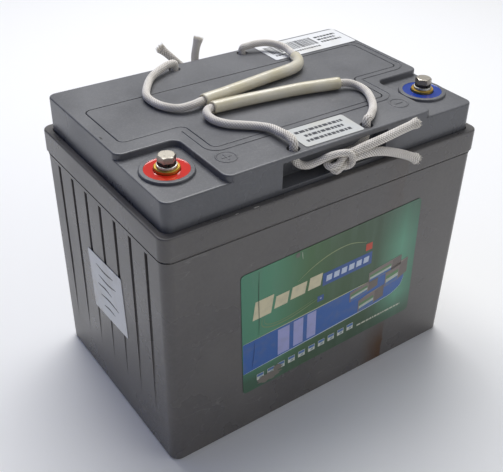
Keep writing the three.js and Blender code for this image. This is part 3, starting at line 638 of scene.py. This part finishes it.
def spring_washer(name, centre, low, top):
    """A square wire carried round all but the split, with its end raised by a small step."""
    mean = (WASHER_BORE + SPRING_WASHER) / 2
    angle = np.linspace(SPLIT / mean / 2, 2 * np.pi - SPLIT / mean / 2, 90)[:, None]
    half_w, half_h = (SPRING_WASHER - WASHER_BORE) / 2, (top - low - COIL_STEP) / 2
    across = np.array([[-1, -1, 1, 0], [1, -1, -1, 0], [1, -1, 0, 1], [1, 1, 0, -1],
                       [1, 1, -1, 0], [-1, 1, 1, 0], [-1, 1, 0, -1], [-1, -1, 0, 1]], float)
    radius = mean + across[:, 0] * half_w + across[:, 2] * WIRE_EDGE
    height = (low + top) / 2 + across[:, 1] * half_h + across[:, 3] * WIRE_EDGE
    rise = COIL_STEP * (angle / (2 * np.pi) - 0.5)
    return crisp(closed(skin(name, swept(centre, radius, angle + SPLIT_ANGLE, height + rise))))


# %% Hexagon bolts
FLATS = 10.0
HEAD = 4.2
THREAD = 3.0
PITCH = 1.0
THREAD_DEPTH = 0.6
TIP_LENGTH, TIP_TAPER = 1.2, 0.7
NECK = 0.3
CLEARANCE = 0.05
RUN_OUT, RUN_OUT_FADE = 0.6, 0.5
CONE_START = 0.95
CONE_FALL = math.tan(math.radians(25))
FOOT_IN, FOOT_UP = 0.1, 0.12
BROW_IN, BROW_DOWN, BROW_UP = 0.06, 0.08, 0.01
BOLT_CREASE = 24


def hexagon_bolt(name, centre, low, top, turn):
    """A bolt in one skin: up the thread, out under the head, up its sides and over the top.

    The hexagon's edge lies at (flats / 2) / cos(a), where a is the angle from the nearest
    flat's middle. Outside the circle where the cone starts, the top falls with the distance.
    """
    angle = full_turn(COLUMNS)[None]
    foot = top - HEAD
    rows = np.arange(low, foot - NECK, PITCH / 8)[:, None]
    screw = np.abs(2 * ((rows / PITCH - angle / (2 * np.pi)) % 1) - 1)
    from_tip = np.clip((rows - low) / TIP_LENGTH, 0, 1)
    fade = from_tip * np.clip((foot - RUN_OUT - rows) / RUN_OUT_FADE, 0, 1)
    shank = THREAD - CLEARANCE - THREAD_DEPTH * screw * fade - TIP_TAPER * (1 - from_tip)
    from_flat = (angle + np.pi / 6) % (np.pi / 3) - np.pi / 6
    hexagon = FLATS / 2 / np.cos(from_flat)
    circle = CONE_START * FLATS / 2 * np.ones_like(angle)
    brow = top - CONE_FALL * (hexagon - circle)
    level = np.ones_like(angle)
    radius = np.vstack([shank, circle * 0.6, circle * 0.98, hexagon - FOOT_IN, hexagon, hexagon,
                        hexagon - BROW_IN, circle])
    z = np.vstack([rows * level, foot * level, foot * level, foot * level, (foot + FOOT_UP) * level,
                   brow - BROW_DOWN, brow + BROW_UP, top * level])
    return crisp(skin(name, swept(centre, radius, angle + turn, z)), BOLT_CREASE)


BOLT_TURN = {"positive": math.radians(12), "negative": math.radians(41)}
for sign in SIDES:
    centre = axes[sign]
    spring = spring_washer(f"{sign}_split_washer", centre, *heights(f"{sign}_spring_washer"))
    bolt = hexagon_bolt(f"{sign}_hexagon_bolt", centre, *heights(f"{sign}_bolt"), BOLT_TURN[sign])
    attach(spring, f"{sign}_washers")
    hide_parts(f"{sign}_spring_washer")
    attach(bolt, f"{sign}_bolt")
    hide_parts(f"{sign}_bolt")
    fittings[sign] += [spring, bolt]
    print(sign, "bolt has", len(bolt.data.polygons), "faces")

# %% [markdown]
# A finish is a tree of nodes. One function adds a node of any kind: it sets the node's own
# settings, and for each input it either makes a link or sets a number. It gives back one
# output, ready to be the next node's input. Colours are written as on a colour chart, in
# sRGB, and turned to the linear values that light is reckoned in.

# %% Colours and nodes
PER_MM = 1 / MM


def linear(chart):
    """An sRGB hex colour as linear red, green, blue and alpha."""
    values = [int(chart[i:i + 2], 16) / 255 for i in (1, 3, 5)]
    return (*[v / 12.92 if v <= 0.04045 else ((v + 0.055) / 1.055) ** 2.4 for v in values], 1.0)


def add(tree, kind, inputs=(), out=0, stops=(), **settings):
    """Adds a node of a kind, with its settings, and gives one of its outputs.

    inputs is a list in the node's own order, or a dictionary by name or number. stops are
    the (place, colour) pairs of a colour ramp.
    """
    made = tree.nodes.new("ShaderNode" + kind)
    for name, value in settings.items():
        setattr(made, name, value)
    for name, value in inputs.items() if isinstance(inputs, dict) else enumerate(inputs):
        if isinstance(value, bpy.types.NodeSocket):
            tree.links.new(value, made.inputs[name])
        else:
            made.inputs[name].default_value = value
    for number, (place, chart) in enumerate(stops):
        elements = made.color_ramp.elements
        element = elements[number] if number < 2 else elements.new(place)
        element.position, element.color = place, linear(chart)
    return made.outputs[out] if made.outputs else made


def new_finish(name, **values):
    """A material with a Principled shader whose plain values are given by input name.

    It gives the material, `add` bound to its tree, its shader, and places on the object.
    """
    finish = bpy.data.materials.new(name)
    finish.use_nodes = True
    finish.node_tree.nodes.clear()
    node = functools.partial(add, finish.node_tree)
    surface = node("BsdfPrincipled", {key.replace("_", " "): value for key, value in values.items()})
    node("OutputMaterial", [surface])
    print("finish", name)
    return finish, node, surface.node, node("TexCoord", out="Object")


def feed(shader, **sources):
    """Links the shader's inputs, by name, to the outputs that feed them."""
    for name, source in sources.items():
        shader.id_data.links.new(source, shader.inputs[name.replace("_", " ")])

# %% [markdown]
# The labels are printed film and paper, and the measured model has each one as a thin
# plate. The print is laid on top in layers a few hundredths of a millimetre apart, as
# screen printing does it, one ink over the other. Each shape is a flat polygon in
# millimetres from the label's middle, [to the right, up], with an ink and a layer.
#
# The words, names and pictures of such labels belong to their makers. They are left out,
# and plain blocks and bars of the same size and colour stand in for them.

# %% The plane of a label
def plane_of(node, right, up, tilt):
    """The centre of a label's outer face, and its directions right, up and out."""
    low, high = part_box(node)
    right, up = Vector(right).normalized(), Vector(up).normalized()
    out = right.cross(up)
    turn = Matrix.Rotation(math.radians(tilt), 3, out)
    right, up = turn @ right, turn @ up
    corners = [vertex.co - (low + high) / 2 for vertex in nodes[node].data.vertices]
    reach = [max(abs(corner @ way) for corner in corners) for way in (right, up, out)]
    print(node, "half size in mm:", [round(value / MM, 2) for value in reach])
    return (low + high) / 2 + out * reach[2], right, up, out


LEAN = math.atan(1 / 170.5)  # the walls lean out towards the top, by this angle
front_plane = plane_of("front_label", (1, 0, 0), (0, -math.sin(LEAN), math.cos(LEAN)), 2.1)
end_plane = plane_of("end_sticker", (0, -1, 0), (-math.sin(LEAN), 0, math.cos(LEAN)), 3.2)
type_plane = plane_of("type_label", (1, 0, 0), (0, 1, 0), -1)
barcode_plane = plane_of("barcode_label", (1, 0, 0), (0, 1, 0), 0)

# %% Flat shapes
LAYER = 0.03 * MM


def block(u, v, width, height, slant=0.0):
    """A box from its lower left corner, whose top leans right by `slant`."""
    return [[u, v], [u + width, v], [u + width + slant, v + height], [u + slant, v + height]]


def strip(points, width):
    """A narrow band along a smooth curve, as a row of four-cornered pieces.

    It is width wide in the middle and thins to nothing at both ends as the sine does.
    """
    curve = smooth_path([[u, v, 0] for u, v in points], 1.5)[:, :2]
    travel = np.gradient(curve, axis=0)
    travel /= np.linalg.norm(travel, axis=1, keepdims=True)
    across = np.stack([-travel[:, 1], travel[:, 0]], axis=1)
    half = width / 2 * np.sin(np.linspace(0.12, np.pi - 0.12, len(curve)))[:, None] ** 0.7
    one, other = curve + across * half, curve - across * half
    return [[a, b, c, d] for a, b, c, d in zip(other[:-1], other[1:], one[1:], one[:-1])]


def ragged(u, v, width, height, seed, points=28):
    """A torn patch: an oval whose edge wanders inwards by up to a third."""
    random = np.random.default_rng(seed)
    angle = full_turn(points)
    reach = 1 - 0.34 * random.random(points)
    across, upward = width / 2 * reach * np.cos(angle), height / 2 * reach * np.sin(angle)
    return np.stack([u + across, v + upward], 1).tolist()


def bars(u, v, length, height, seed, low=1.2, high=4.5, gap=0.7):
    """A line of plain bars of uneven length, where a line of text would be."""
    random = np.random.default_rng(seed)
    made, place = [], u
    while place < u + length:
        step = min(random.uniform(low, high), u + length - place)
        made.append(block(place, v, step, height))
        place += step + gap
    return made


def printed(name, plane, inks):
    """One mesh of printed shapes: inks is a list of (colour, layer, shapes)."""
    centre, right, up, out = plane
    points, faces, colours = [], [], []
    for colour, layer, shapes in inks:
        for shape in shapes:
            faces.append(range(len(points), len(points) + len(shape)))
            colours += [linear(colour)] * len(shape)
            points += [centre + (right * u + up * v) * MM + out * LAYER * (layer + 1) for u, v in shape]
    mesh = bpy.data.meshes.new(name)
    mesh.from_pydata([tuple(point) for point in points], [], faces)
    ink = mesh.attributes.new("Ink", "FLOAT_COLOR", "POINT")
    ink.data.foreach_set("color", np.array(colours, np.float32).ravel())
    piece = collected(name, mesh, smooth=False)
    thin = piece.modifiers.new("thickness", "SOLIDIFY")
    thin.thickness = LAYER * 0.5
    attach(piece, "root")
    print(name, "has", len(faces), "printed shapes")
    return piece

# %% [markdown]
# The front label has a blue band across a green ground, with pale piping along its edges,
# some olive swooshes, a group of four small batteries, a row of little pictures, and a line
# of small print. It has had a hard life: a patch at its lower left is rubbed through to
# the plastic, its top edge is nicked, and a long scratch runs down beside its left edge.

# %% The print on the front label
def little_battery(u, v, width, height, depth):
    """A small battery seen from above its corner: lid, front with stripes, and end."""
    rise, stripe = height * 0.38, height * 0.22
    top = [[u, v + height], [u + width, v + height + 2], [u + width + depth, v + height + rise],
           [u + depth, v + height + rise - 2]]
    front = [[u, v], [u + width, v + 2], [u + width, v + height + 2], [u, v + height]]
    side = [[u + width, v + 2], [u + width + depth, v + rise], [u + width + depth, v + height + rise],
            [u + width, v + height + 2]]
    stripes = [[[u + 1, v + low], [u + width - 1, v + 1.8 + low], [u + width - 1, v + 1.8 + low + stripe],
                [u + 1, v + low + stripe]] for low in (0.5, 0.5 + stripe, 0.5 + 2 * stripe)]
    return top, front, side, stripes


small = [little_battery(33, -5, 23, 9, 9), little_battery(50, -17, 14, 14, 8),
         little_battery(15.5, -15, 18, 9, 9), little_battery(24.5, -29, 16, 11, 9)]
front_inks = [
    ("#3b66ab", 0, [[[-78.2, -33.8], [45, -28.6], [58, -26.8], [66, -23], [69.5, -17], [69, -11],
                     [64, -6], [56, -3.6], [16, -4.2], [-78.2, -6]]]),
    ("#c9cf9f", 1, strip([[-78.2, -6], [-30, -5.2], [20, -4.2], [52, -3.6]], 0.7)),
    ("#c9d3dd", 1, strip([[-78.2, -33.8], [0, -30.6], [45, -28.6], [59, -26.6], [67, -22],
                           [69.5, -15]], 0.7)),
    ("#d9d0ae", 1, [block(-70, 11.5, 15, 15, 2.5), block(-52.5, 13.5, 11, 10, 1.8),
                    block(-39, 14.5, 12.5, 10, 1.8), block(-24, 15, 11, 10.4, 1.8)]),
    ("#34599b", 1, [block(-11, 13, 45, 11)]),
    ("#c4cfe4", 2, [block(-8 + 6.8 * i, 16, 4.9, 5, 0.5) for i in range(6)]),
    ("#c8452c", 1, [block(27.5, 26.5, 6, 6)]),
    ("#34599b", 1, [block(-15, 0.4, 5.5, 5)]),
    ("#c4cfe4", 2, [block(-12.8, 2.4, 1.4, 1)]),
    ("#8d9c6e", 1, strip([[-33, 27.5], [-20, 34.2], [-5, 38.8], [12, 39.6], [28, 34.5]], 0.9)),
    ("#7d8f62", 1, strip([[-62, 10], [-62.4, 3.5], [-56, -0.6], [-40, -1.6], [-14, 3.4]], 0.9)),
    ("#7d8f62", 1, strip([[-60, 10], [-60, 4.6], [-54, 1.2], [-40, 0.6], [-18, 4.6]], 0.6)),
    ("#a6a9d8", 1, [block(-49, -31, 10, 23.4), block(-35.5, -30.2, 8.5, 23.2), block(-23.5, -29.6, 8, 23)]),
    ("#93877f", 3, [b[0] for b in small]), ("#857a74", 3, [b[1] for b in small]),
    ("#716862", 3, [b[2] for b in small]),
    ("#4a70a8", 4, [b[3][0] for b in small]), ("#b9c3b8", 4, [b[3][1] for b in small]),
    ("#5f8b5c", 4, [b[3][2] for b in small]),
    ("#d6d8cd", 1, [block(-67 + 9.1 * i, -45.6 + 0.32 * i, 6, 5.6) for i in range(10)]),
    ("#4f76ae", 2, [block(-66.7 + 9.1 * i, -42.6 + 0.32 * i, 5.4, 2.3) for i in range(10)]),
    ("#8fa0a0", 2, [block(-65.2 + 9.1 * i, -45 + 0.32 * i, 2.6, 1.8, 0.8) for i in range(10)]),
    ("#c9cbb9", 1, bars(25, -43.2, 44, 1.5, 5)),
    ("#7b756c", 5, [ragged(-57, -47.4, 25, 8.6, 3), ragged(-49, -42.6, 9, 6, 8)]),
    ("#6f6a64", 5, [ragged(-33.5, 50.2, 4.6, 5, 4)]),
    ("#39493a", 5, strip([[-64.6, 51], [-65, 30], [-64.8, 10], [-65, -3]], 0.5)),
    ("#2c4a80", 5, strip([[-68.6, -8], [-69.4, -20], [-71, -31]], 0.5)),
    ("#c5cfb8", 5, strip([[-30, 51.6], [-29.2, 45]], 0.5)),
]
front_print = printed("front_label_print", front_plane, front_inks)

# %% [markdown]
# The end sticker is white paper that someone has written on with a black felt pen. The
# writing isn't copied: a few plain strokes stand for it. The two labels on the lid have
# rows of dark bars for their text, and the wide one has a run of upright bars.
#
# Two marks are laid on in the same way: a nicked spot in the lid's left edge, drawn as a flat
# near-black patch that is painted shade where its hollow would be, and a pale chip of wear
# where something has struck the front ledge of the case.

# %% The other labels
THIN_BAR = 0.33


def upright_bars(u, v, length, height, seed):
    """Upright bars of three widths, as on a barcode, but with widths drawn at random."""
    random = np.random.default_rng(seed)
    made, place = [], u
    while place < u + length:
        width = THIN_BAR * random.integers(1, 4)
        made.append(block(place, v, width, height))
        place += width + THIN_BAR * random.integers(1, 4)
    return made


pen = [([[-14, 17], [-2, 15.5], [12, 16.5]], 1.4), ([[-12, 8.5], [2, 7.4], [14, 9]], 1.4),
       ([[-15, 0], [-3, 0.8], [6, -0.6]], 1.4), ([[-12, -8], [1, -7], [15, -8.6]], 1.4),
       ([[-9, -16], [0, -15], [8, -16]], 1.3)]
written = sum([strip(*stroke) for stroke in pen], [])
end_print = printed("end_sticker_print", end_plane, [("#22252c", 0, written)])
type_rows = [(-19.5, 4.4, 38, 2.9, 1), (-16, -1.5, 31, 2.9, 2), (-18.5, -7.6, 36, 2.9, 3)]
type_bars = sum([bars(*row, 1.6, 4.2) for row in type_rows], [])
type_print = printed("type_label_print", type_plane, [("#30343c", 0, type_bars)])
barcode_rows = [(13.5, 5.5, 21, 2.6, 9), (13.5, 0.6, 18, 2.6, 10), (13.5, -4.4, 20, 2.6, 11)]
barcode_bars = upright_bars(-35, -4.5, 44, 14, 7) + bars(-35, -9.4, 44, 2.0, 8, 1.2, 2.4)
barcode_bars += sum([bars(*row, 1.4, 3.2) for row in barcode_rows], [])
barcode_print = printed("barcode_label_print", barcode_plane, [("#2b2e33", 0, barcode_bars)])
LEVEL = (Vector((1, 0, 0)), Vector((0, 1, 0)), Vector((0, 0, 1)))
NICK_SHADE_PLACE, CHIP_PLACE = (-122 * MM, 2.6 * MM), (-64.5 * MM, -82.8 * MM)
nick_shade_plane = (Vector((*NICK_SHADE_PLACE, lid_top)), *LEVEL)
chip_plane = (Vector((*CHIP_PLACE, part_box("case")[1].z)), *LEVEL)
# The nicked spot's near-black patch is painted shade: a flat mark where the hollow's dark bottom would be.
nicked_spot_shade = printed("lid_nick_painted_shade", nick_shade_plane, [("#17181b", 0, [ragged(0, 0, 1.5, 4.6, 6)])])
chip = printed("ledge_chip", chip_plane,
               [("#d8d4cb", 0, [ragged(0, 0, 5, 1.3, 9), ragged(-14, 0.2, 3, 0.7, 2)])])

# %% [markdown]
# The case and the lid are injection-moulded ABS. The tool's surface was spark-eroded, which
# leaves a fine even grain that scatters the light, so the plastic is satin. ABS has an
# index of refraction near 1.54. Handling shows on it: faint cloudy patches where hands have
# polished it, hair-fine scuffs that run mostly lengthwise, and pale dust that settles on
# what faces up. The grain is about 0.1 mm on the tool, and is drawn at 0.45 mm so that it
# shows.

# %% Moulded ABS
def moulded_abs(name, shades, dust):
    """Satin grey plastic: cloudy, scuffed and dusty, with a fine grain in relief.

    The colour is a shade x a slow noise, lighter by the scuffs, which are the thin ridge of
    a stretched noise, and by dust, which grows with how far the surface faces up.
    """
    finish, node, shader, place = new_finish(name, IOR=1.54)
    clouds = node("TexNoise", {"Vector": place, "Scale": PER_MM / 45, "Detail": 4})
    colour = node("ValToRGB", [clouds], stops=[(0.35, shades[0]), (0.65, shades[1])])
    mottles = node("TexNoise", {"Vector": place, "Scale": PER_MM / 2.2, "Detail": 3, "Roughness": 0.65})
    mottled = node("MapRange", [mottles, 0.4, 0.62, 0, 0.16])

    stretched = node("VectorMath", [place, (0.16, 1.0, 0.8)], operation="MULTIPLY")
    streaks = node("TexNoise", {"Vector": stretched, "Scale": PER_MM / 9, "Detail": 2})
    from_ridge = node("Math", [streaks, 0.5], operation="SUBTRACT")
    from_ridge = node("Math", [from_ridge], operation="ABSOLUTE")
    scuff = node("MapRange", [from_ridge, 0, 0.006, 0.22, 0])
    areas = node("TexNoise", {"Vector": place, "Scale": PER_MM / 26, "Detail": 2})
    worn = node("MapRange", [areas, 0.52, 0.66, 0, 1])
    scuffed = node("Math", [scuff, worn], operation="MULTIPLY")

    facing = node("SeparateXYZ", [node("NewGeometry", out="Normal")], out="Z")
    specks = node("TexNoise", {"Vector": place, "Scale": PER_MM / 1.1, "Detail": 2, "Roughness": 0.7})
    upward = node("MapRange", [facing, 0.6, 1, 0, dust])
    specked = node("MapRange", [specks, 0.55, 0.75, 0.3, 1])
    settled = node("Math", [upward, specked], operation="MULTIPLY")
    for share, shade in [(mottled, shades[2]), (scuffed, "#a9a8a4"), (settled, "#c9c6bf")]:
        colour = node("Mix", {0: share, 6: colour, 7: linear(shade)}, out=2, data_type="RGBA")

    polish = node("MapRange", [clouds, 0.35, 0.65, 0.24, 0.36])
    gloss = node("Math", [settled, 0.8, polish], operation="MULTIPLY_ADD")
    grain = node("TexNoise", {"Vector": place, "Scale": PER_MM / 0.45, "Detail": 2, "Roughness": 0.6})
    relief = node("Bump", {"Height": grain, "Distance": 0.035 * MM, "Strength": 0.8})
    feed(shader, Base_Color=colour, Roughness=gloss, Normal=relief)
    return finish, node, shader, place, colour


lid_abs = moulded_abs("lid_moulded_abs", ("#57585c", "#616266", "#727377"), 0.16)[0]

# %% [markdown]
# The case is the same plastic as the lid, but a little browner and less dusty. A brown
# stain, where something has run down and dried against the edge of a tray, ends sharply on
# its right. It is placed in millimetres on the front wall.

# %% The case, with its stain
def stained_case(name):
    """ABS with a stain: it grows to the right up to a sharp edge, and towards the base."""
    finish, node, shader, place, colour = moulded_abs(name, ("#575453", "#615e5c", "#716e6b"), 0.05)
    x, y, z = [node("SeparateXYZ", [place], out=way) for way in "XYZ"]
    wander = node("TexNoise", {"Vector": place, "Scale": PER_MM / 7, "Detail": 3})
    x = node("Math", [wander, 5 * MM, x], operation="MULTIPLY_ADD")
    mask = 1.0
    edges = [(x, 42, 60, 0, 1), (x, 64, 65, 1, 0), (z, 40, 16, 0.15, 1), (y, -81, -80, 1, 0)]
    for value, start, end, low, high in edges:
        part = node("MapRange", [value, start * MM, end * MM, low, high])
        mask = node("Math", [part, mask], operation="MULTIPLY")
    stained = node("Mix", {0: mask, 6: colour, 7: linear("#513516")}, out=2, data_type="RGBA")
    feed(shader, Base_Color=stained)
    return finish


case_abs = stained_case("case_moulded_abs")

# %% [markdown]
# The rope is polyester, which is off-white and a little dull from handling. The crevices
# between the yarns are coloured darker: partly dirt, and partly painted shade. Its grip is a
# hose of plasticised PVC: clear once, now yellow and cloudy, so only some of the light passes in.

# %% Rope and hose
def polyester_rope(name, light, deep):
    """Yarn colour by the braid's height, with slow patches of dirt along the rope."""
    finish, node, shader, place = new_finish(name, Roughness=0.78, Sheen_Weight=0.25)
    braid = node("Attribute", out="Fac", attribute_name="Braid")
    # Low in the braid, between the yarns, the colour is darker: partly dirt and partly painted shade.
    colour = node("ValToRGB", [braid], stops=[(0.22, deep), (0.62, light)])
    patches = node("TexNoise", {"Vector": place, "Scale": PER_MM / 12, "Detail": 4})
    dirt = node("MapRange", [patches, 0.45, 0.7, 0, 0.35])
    colour = node("Mix", {0: dirt, 6: colour, 7: linear("#a59d8e")}, out=2, data_type="RGBA")
    fibres = node("TexNoise", {"Vector": place, "Scale": PER_MM / 0.5, "Detail": 3, "Roughness": 0.7})
    relief = node("Bump", {"Height": fibres, "Distance": 0.08 * MM, "Strength": 0.6})
    feed(shader, Base_Color=colour, Normal=relief)
    return finish


def pvc_hose(name):
    """Cloudy yellowed PVC: some light passes in, and slow waves lie along its surface."""
    finish, node, shader, place = new_finish(name, IOR=1.53, Roughness=0.26, Coat_Weight=0.4,
                                             Transmission_Weight=0.25)
    clouds = node("TexNoise", {"Vector": place, "Scale": PER_MM / 14, "Detail": 3})
    colour = node("ValToRGB", [clouds], stops=[(0.35, "#efe6c8"), (0.7, "#f8f2e0")])
    waves = node("TexNoise", {"Vector": place, "Scale": PER_MM / 5, "Detail": 2})
    relief = node("Bump", {"Height": waves, "Distance": 0.3 * MM, "Strength": 0.7})
    feed(shader, Base_Color=colour, Normal=relief)
    return finish


rope_yarn = polyester_rope("polyester_rope", "#fbf6ee", "#a0978a")
fray_yarn = new_finish("polyester_bristles", Base_Color=linear("#e4ded2"), Roughness=0.8,
                       Sheen_Weight=0.3)[0]
hose_pvc = pvc_hose("yellowed_pvc")

# %% [markdown]
# Metals are simple: a colour, full metallic, and a roughness that noise makes uneven. The
# plain washers are bright zinc, the spring washers are dark phosphated steel, and the bolts
# are nickel-plated. The inner metal is lead. Positive plates are brown lead dioxide, and
# negative plates grey spongy lead; both are dry and rough, and so are the glass mats between
# them and the rubber of the valve caps. All of these are spotted in the same way.

# %% Metals, resin and the inner parts
def spotted(name, shade, spot, size, rough, spread, depth, **more):
    """A material whose noise, `size` mm across, tints it by up to `spread` and gives relief.

    Its roughness grows from `rough` by half the spread where the noise is high.
    """
    finish, node, shader, place = new_finish(name, **more)
    patches = node("TexNoise", {"Vector": place, "Scale": PER_MM / size, "Detail": 4, "Roughness": 0.6})
    share = node("MapRange", [patches, 0.45, 0.75, 0, spread])
    colour = node("Mix", {0: share, 6: linear(shade), 7: linear(spot)}, out=2, data_type="RGBA")
    gloss = node("MapRange", [patches, 0.3, 0.7, rough, rough + spread / 2])
    relief = node("Bump", {"Height": patches, "Distance": depth * MM, "Strength": 0.5})
    feed(shader, Base_Color=colour, Roughness=gloss, Normal=relief)
    return finish


def epoxy(name, shade):
    """Poured resin: glossy and deep, with a faint orange-peel on its surface."""
    finish, node, shader, place = new_finish(name, Base_Color=linear(shade), Roughness=0.12, IOR=1.55)
    peel = node("TexNoise", {"Vector": place, "Scale": PER_MM / 2.5, "Detail": 2})
    feed(shader, Normal=node("Bump", {"Height": peel, "Distance": 0.05 * MM, "Strength": 0.5}))
    return finish


brass, zinc, phosphated, nickel, lead = [
    spotted(name, shade, spot, 3, rough, 0.4, 0.02, Metallic=1.0) for name, shade, spot, rough in [
        ("machined_brass", "#c9a54c", "#8a6a30", 0.28), ("bright_zinc", "#d3d2cb", "#6b6257", 0.3),
        ("phosphated_steel", "#4a4845", "#2c2a28", 0.42), ("nickel_plate", "#b9b3a8", "#7c7468", 0.26),
        ("cast_lead", "#7b7d80", "#5a5c60", 0.5)]]
positive_paste, negative_paste, glass_mat, rubber = [
    spotted(name, shade, spot, size, rough, 0.3, depth) for name, shade, spot, size, rough, depth in [
        ("lead_dioxide_paste", "#5b3a2a", "#3a3836", 0.8, 0.75, 0.1),
        ("sponge_lead_paste", "#6d7074", "#3a3836", 0.8, 0.7, 0.1),
        ("glass_mat", "#dfe0dc", "#8c8d8a", 1.2, 0.8, 0.1),
        ("epdm_rubber", "#2b2b2c", "#3a3836", 0.6, 0.6, 0.03)]]
red_epoxy, blue_epoxy = epoxy("red_epoxy", "#d42a1e"), epoxy("blue_epoxy", "#21419c")

# %% [markdown]
# The paper of the stickers is white and matt, a little yellow where it has aged. The label
# by the knot is silvery polyester film. The front label's ground is green. Going right, it
# runs from a sea green at the left edge into a dark olive middle, and opens into a lighter
# glow near the right edge, which fades towards the top and the bottom. Clear film over the
# print gives it a soft gloss. The ink reads its colour from each shape.

# %% Paper, film and ink
def green_film(name):
    """The ground of the front label, by its place across and up the wall."""
    finish, node, shader, place = new_finish(name, Roughness=0.34, IOR=1.5)
    x, z = [node("SeparateXYZ", [place], out=way) for way in "XZ"]
    across = node("MapRange", [x, -74 * MM, 84 * MM, 0, 1])
    green = node("ValToRGB", [across],
                stops=[(0.0, "#4f8c70"), (0.16, "#549070"), (0.34, "#4c7148"), (0.5, "#45613f"),
                       (0.74, "#415c41"), (0.9, "#62a083"), (1.0, "#4d8069")])
    low = node("MapRange", [z, 62 * MM, 44 * MM, 0, 0.8])
    high = node("MapRange", [z, 112 * MM, 143 * MM, 0, 0.6])
    right = node("MapRange", [across, 0.45, 0.8, 0, 1])
    high = node("Math", [high, right], operation="MULTIPLY")
    stretched = node("VectorMath", [place, (1, 1, 0.2)], operation="MULTIPLY")
    streaks = node("TexNoise", {"Vector": stretched, "Scale": PER_MM / 9, "Detail": 3})
    dull = node("MapRange", [streaks, 0.45, 0.75, 0, 0.25])
    for share, shade in [(low, "#3d5340"), (high, "#3d5241"), (dull, "#6a8272")]:
        green = node("Mix", {0: share, 6: green, 7: linear(shade)}, out=2, data_type="RGBA")
    feed(shader, Base_Color=green)
    return finish


def printing_ink(name, gloss):
    """Ink that takes its colour from the shape, dulled a little in patches."""
    finish, node, shader, place = new_finish(name, Roughness=gloss)
    ink = node("Attribute", out="Color", attribute_name="Ink")
    patches = node("TexNoise", {"Vector": place, "Scale": PER_MM / 6, "Detail": 3})
    dull = node("MapRange", [patches, 0.45, 0.7, 0, 0.18])
    colour = node("Mix", {0: dull, 6: ink, 7: linear("#7f7d76")}, out=2, data_type="RGBA")
    feed(shader, Base_Color=colour)
    return finish


sticker_paper = spotted("sticker_paper", "#e4e5e6", "#c4bda6", 15, 0.6, 0.35, 0.015)
silver_film = spotted("silvery_film", "#c9cbc9", "#c4bda6", 15, 0.32, 0.35, 0.015)
ground_film = green_film("printed_green_film")
film_ink, paper_ink = printing_ink("film_ink", 0.34), printing_ink("paper_ink", 0.6)
floor_paint = new_finish("studio_floor", Base_Color=linear("#f8f8f8"), Roughness=0.9)[0]

# %% [markdown]
# Each piece gets its finish, and so does every node of the measured model, those inside
# too, so that a battery opened up would look right.

# %% Give out the finishes
def wears(pieces, finish):
    """Puts one finish on some pieces."""
    for piece in pieces:
        piece.data.materials.clear()
        piece.data.materials.append(finish)


NODE_FINISHES = [
    ("case", case_abs), ("lid", lid_abs), ("vent_cover", lid_abs), ("rope", rope_yarn), ("grip", hose_pvc),
    ("positive_seal_ring", red_epoxy), ("negative_seal_ring", blue_epoxy), ("terminal_insert", brass),
    ("flat_washer", zinc), ("spring_washer", phosphated), ("bolt", nickel), ("terminal_post", lead),
    ("intercell_connector", lead), ("positive_plate_group", positive_paste),
    ("negative_plate_group", negative_paste), ("separator", glass_mat), ("valve_cap", rubber),
    ("front_label", ground_film), ("end_sticker", sticker_paper), ("type_label", silver_film),
    ("barcode_label", sticker_paper),
]
for node, thing in nodes.items():
    finish = next(finish for part, finish in NODE_FINISHES if part in node)
    wears([thing], finish)
for pieces, finish in [([case], case_abs), ([lid, cover], lid_abs), ([front_rope, rear_rope], rope_yarn),
                       (front_frays + rear_frays, fray_yarn), (grips.values(), hose_pvc),
                       ([front_print], film_ink),
                       ([end_print, type_print, barcode_print, nicked_spot_shade, chip], paper_ink)]:
    wears(pieces, finish)
for sign, poured in (("positive", red_epoxy), ("negative", blue_epoxy)):
    for piece, finish in zip(fittings[sign], (poured, brass, zinc, phosphated, nickel)):
        wears([piece], finish)
print(len(bpy.data.materials), "finishes")

# %% [markdown]
# The studio is a plain pale floor that runs out of sight, and soft light. The main light is
# a large panel above the battery and behind it, so the top shines and the front lies in its
# own soft shade. A weak panel in front and to the right opens up that shade, and the pale
# world lights everything else evenly. A dark blue card stands off to the left, as studio
# flags do: it keeps light from the left end, and shows in the gloss of the plastic there.

# %% The floor and the flag
FLOOR_HALF = 6.0
FLOOR_DROP = 0.2 * MM
FLAG_X, FLAG_Y, FLAG_Z = -0.6, (-0.9, 1.5), (0.3, 2.0)


def sheet(name, corners, finish):
    """One four-cornered face that belongs to the studio and not to the battery."""
    mesh = bpy.data.meshes.new(name)
    mesh.from_pydata(corners, [], [(0, 1, 2, 3)])
    made = collected(name, mesh, smooth=False)
    made.data.materials.append(finish)
    return made


navy_card = new_finish("navy_card", Base_Color=linear("#29417c"), Roughness=0.7)[0]
square = [(-1, -1), (1, -1), (1, 1), (-1, 1)]
sheet("floor", [(FLOOR_HALF * x, FLOOR_HALF * y, -FLOOR_DROP) for x, y in square], floor_paint)
flag = sheet("flag", [(FLAG_X, FLAG_Y[y > 0], FLAG_Z[z > 0]) for y, z in square], navy_card)
flag.visible_camera = False

# %% The lights
def panel(name, place, aim, size, power):
    """A soft oblong light of `size` metres, turned to face a point."""
    data = bpy.data.lights.new(name, "AREA")
    data.shape = "RECTANGLE"
    data.size, data.size_y = size
    data.energy = power
    light = bpy.data.objects.new(name, data)
    turn = (Vector(aim) - Vector(place)).to_track_quat("-Z", "Y").to_matrix().to_4x4()
    light.matrix_world = Matrix.Translation(Vector(place)) @ turn
    bpy.context.scene.collection.objects.link(light)
    print(name, power, "W")


panel("top_panel", (0.3, 0.6, 1.5), (0, 0, 0.2), (1.2, 1.1), 23)
panel("front_panel", (1.1, -1.6, 0.8), (0, -0.08, 0.1), (1.2, 1.0), 3.9)
world = bpy.data.worlds.new("studio")
world.use_nodes = True
sky = world.node_tree.nodes["Background"].inputs
sky["Color"].default_value = linear("#f1f3f6")
sky["Strength"].default_value = 0.36
bpy.context.scene.world = world
bpy.context.scene.view_settings.view_transform = "Standard"
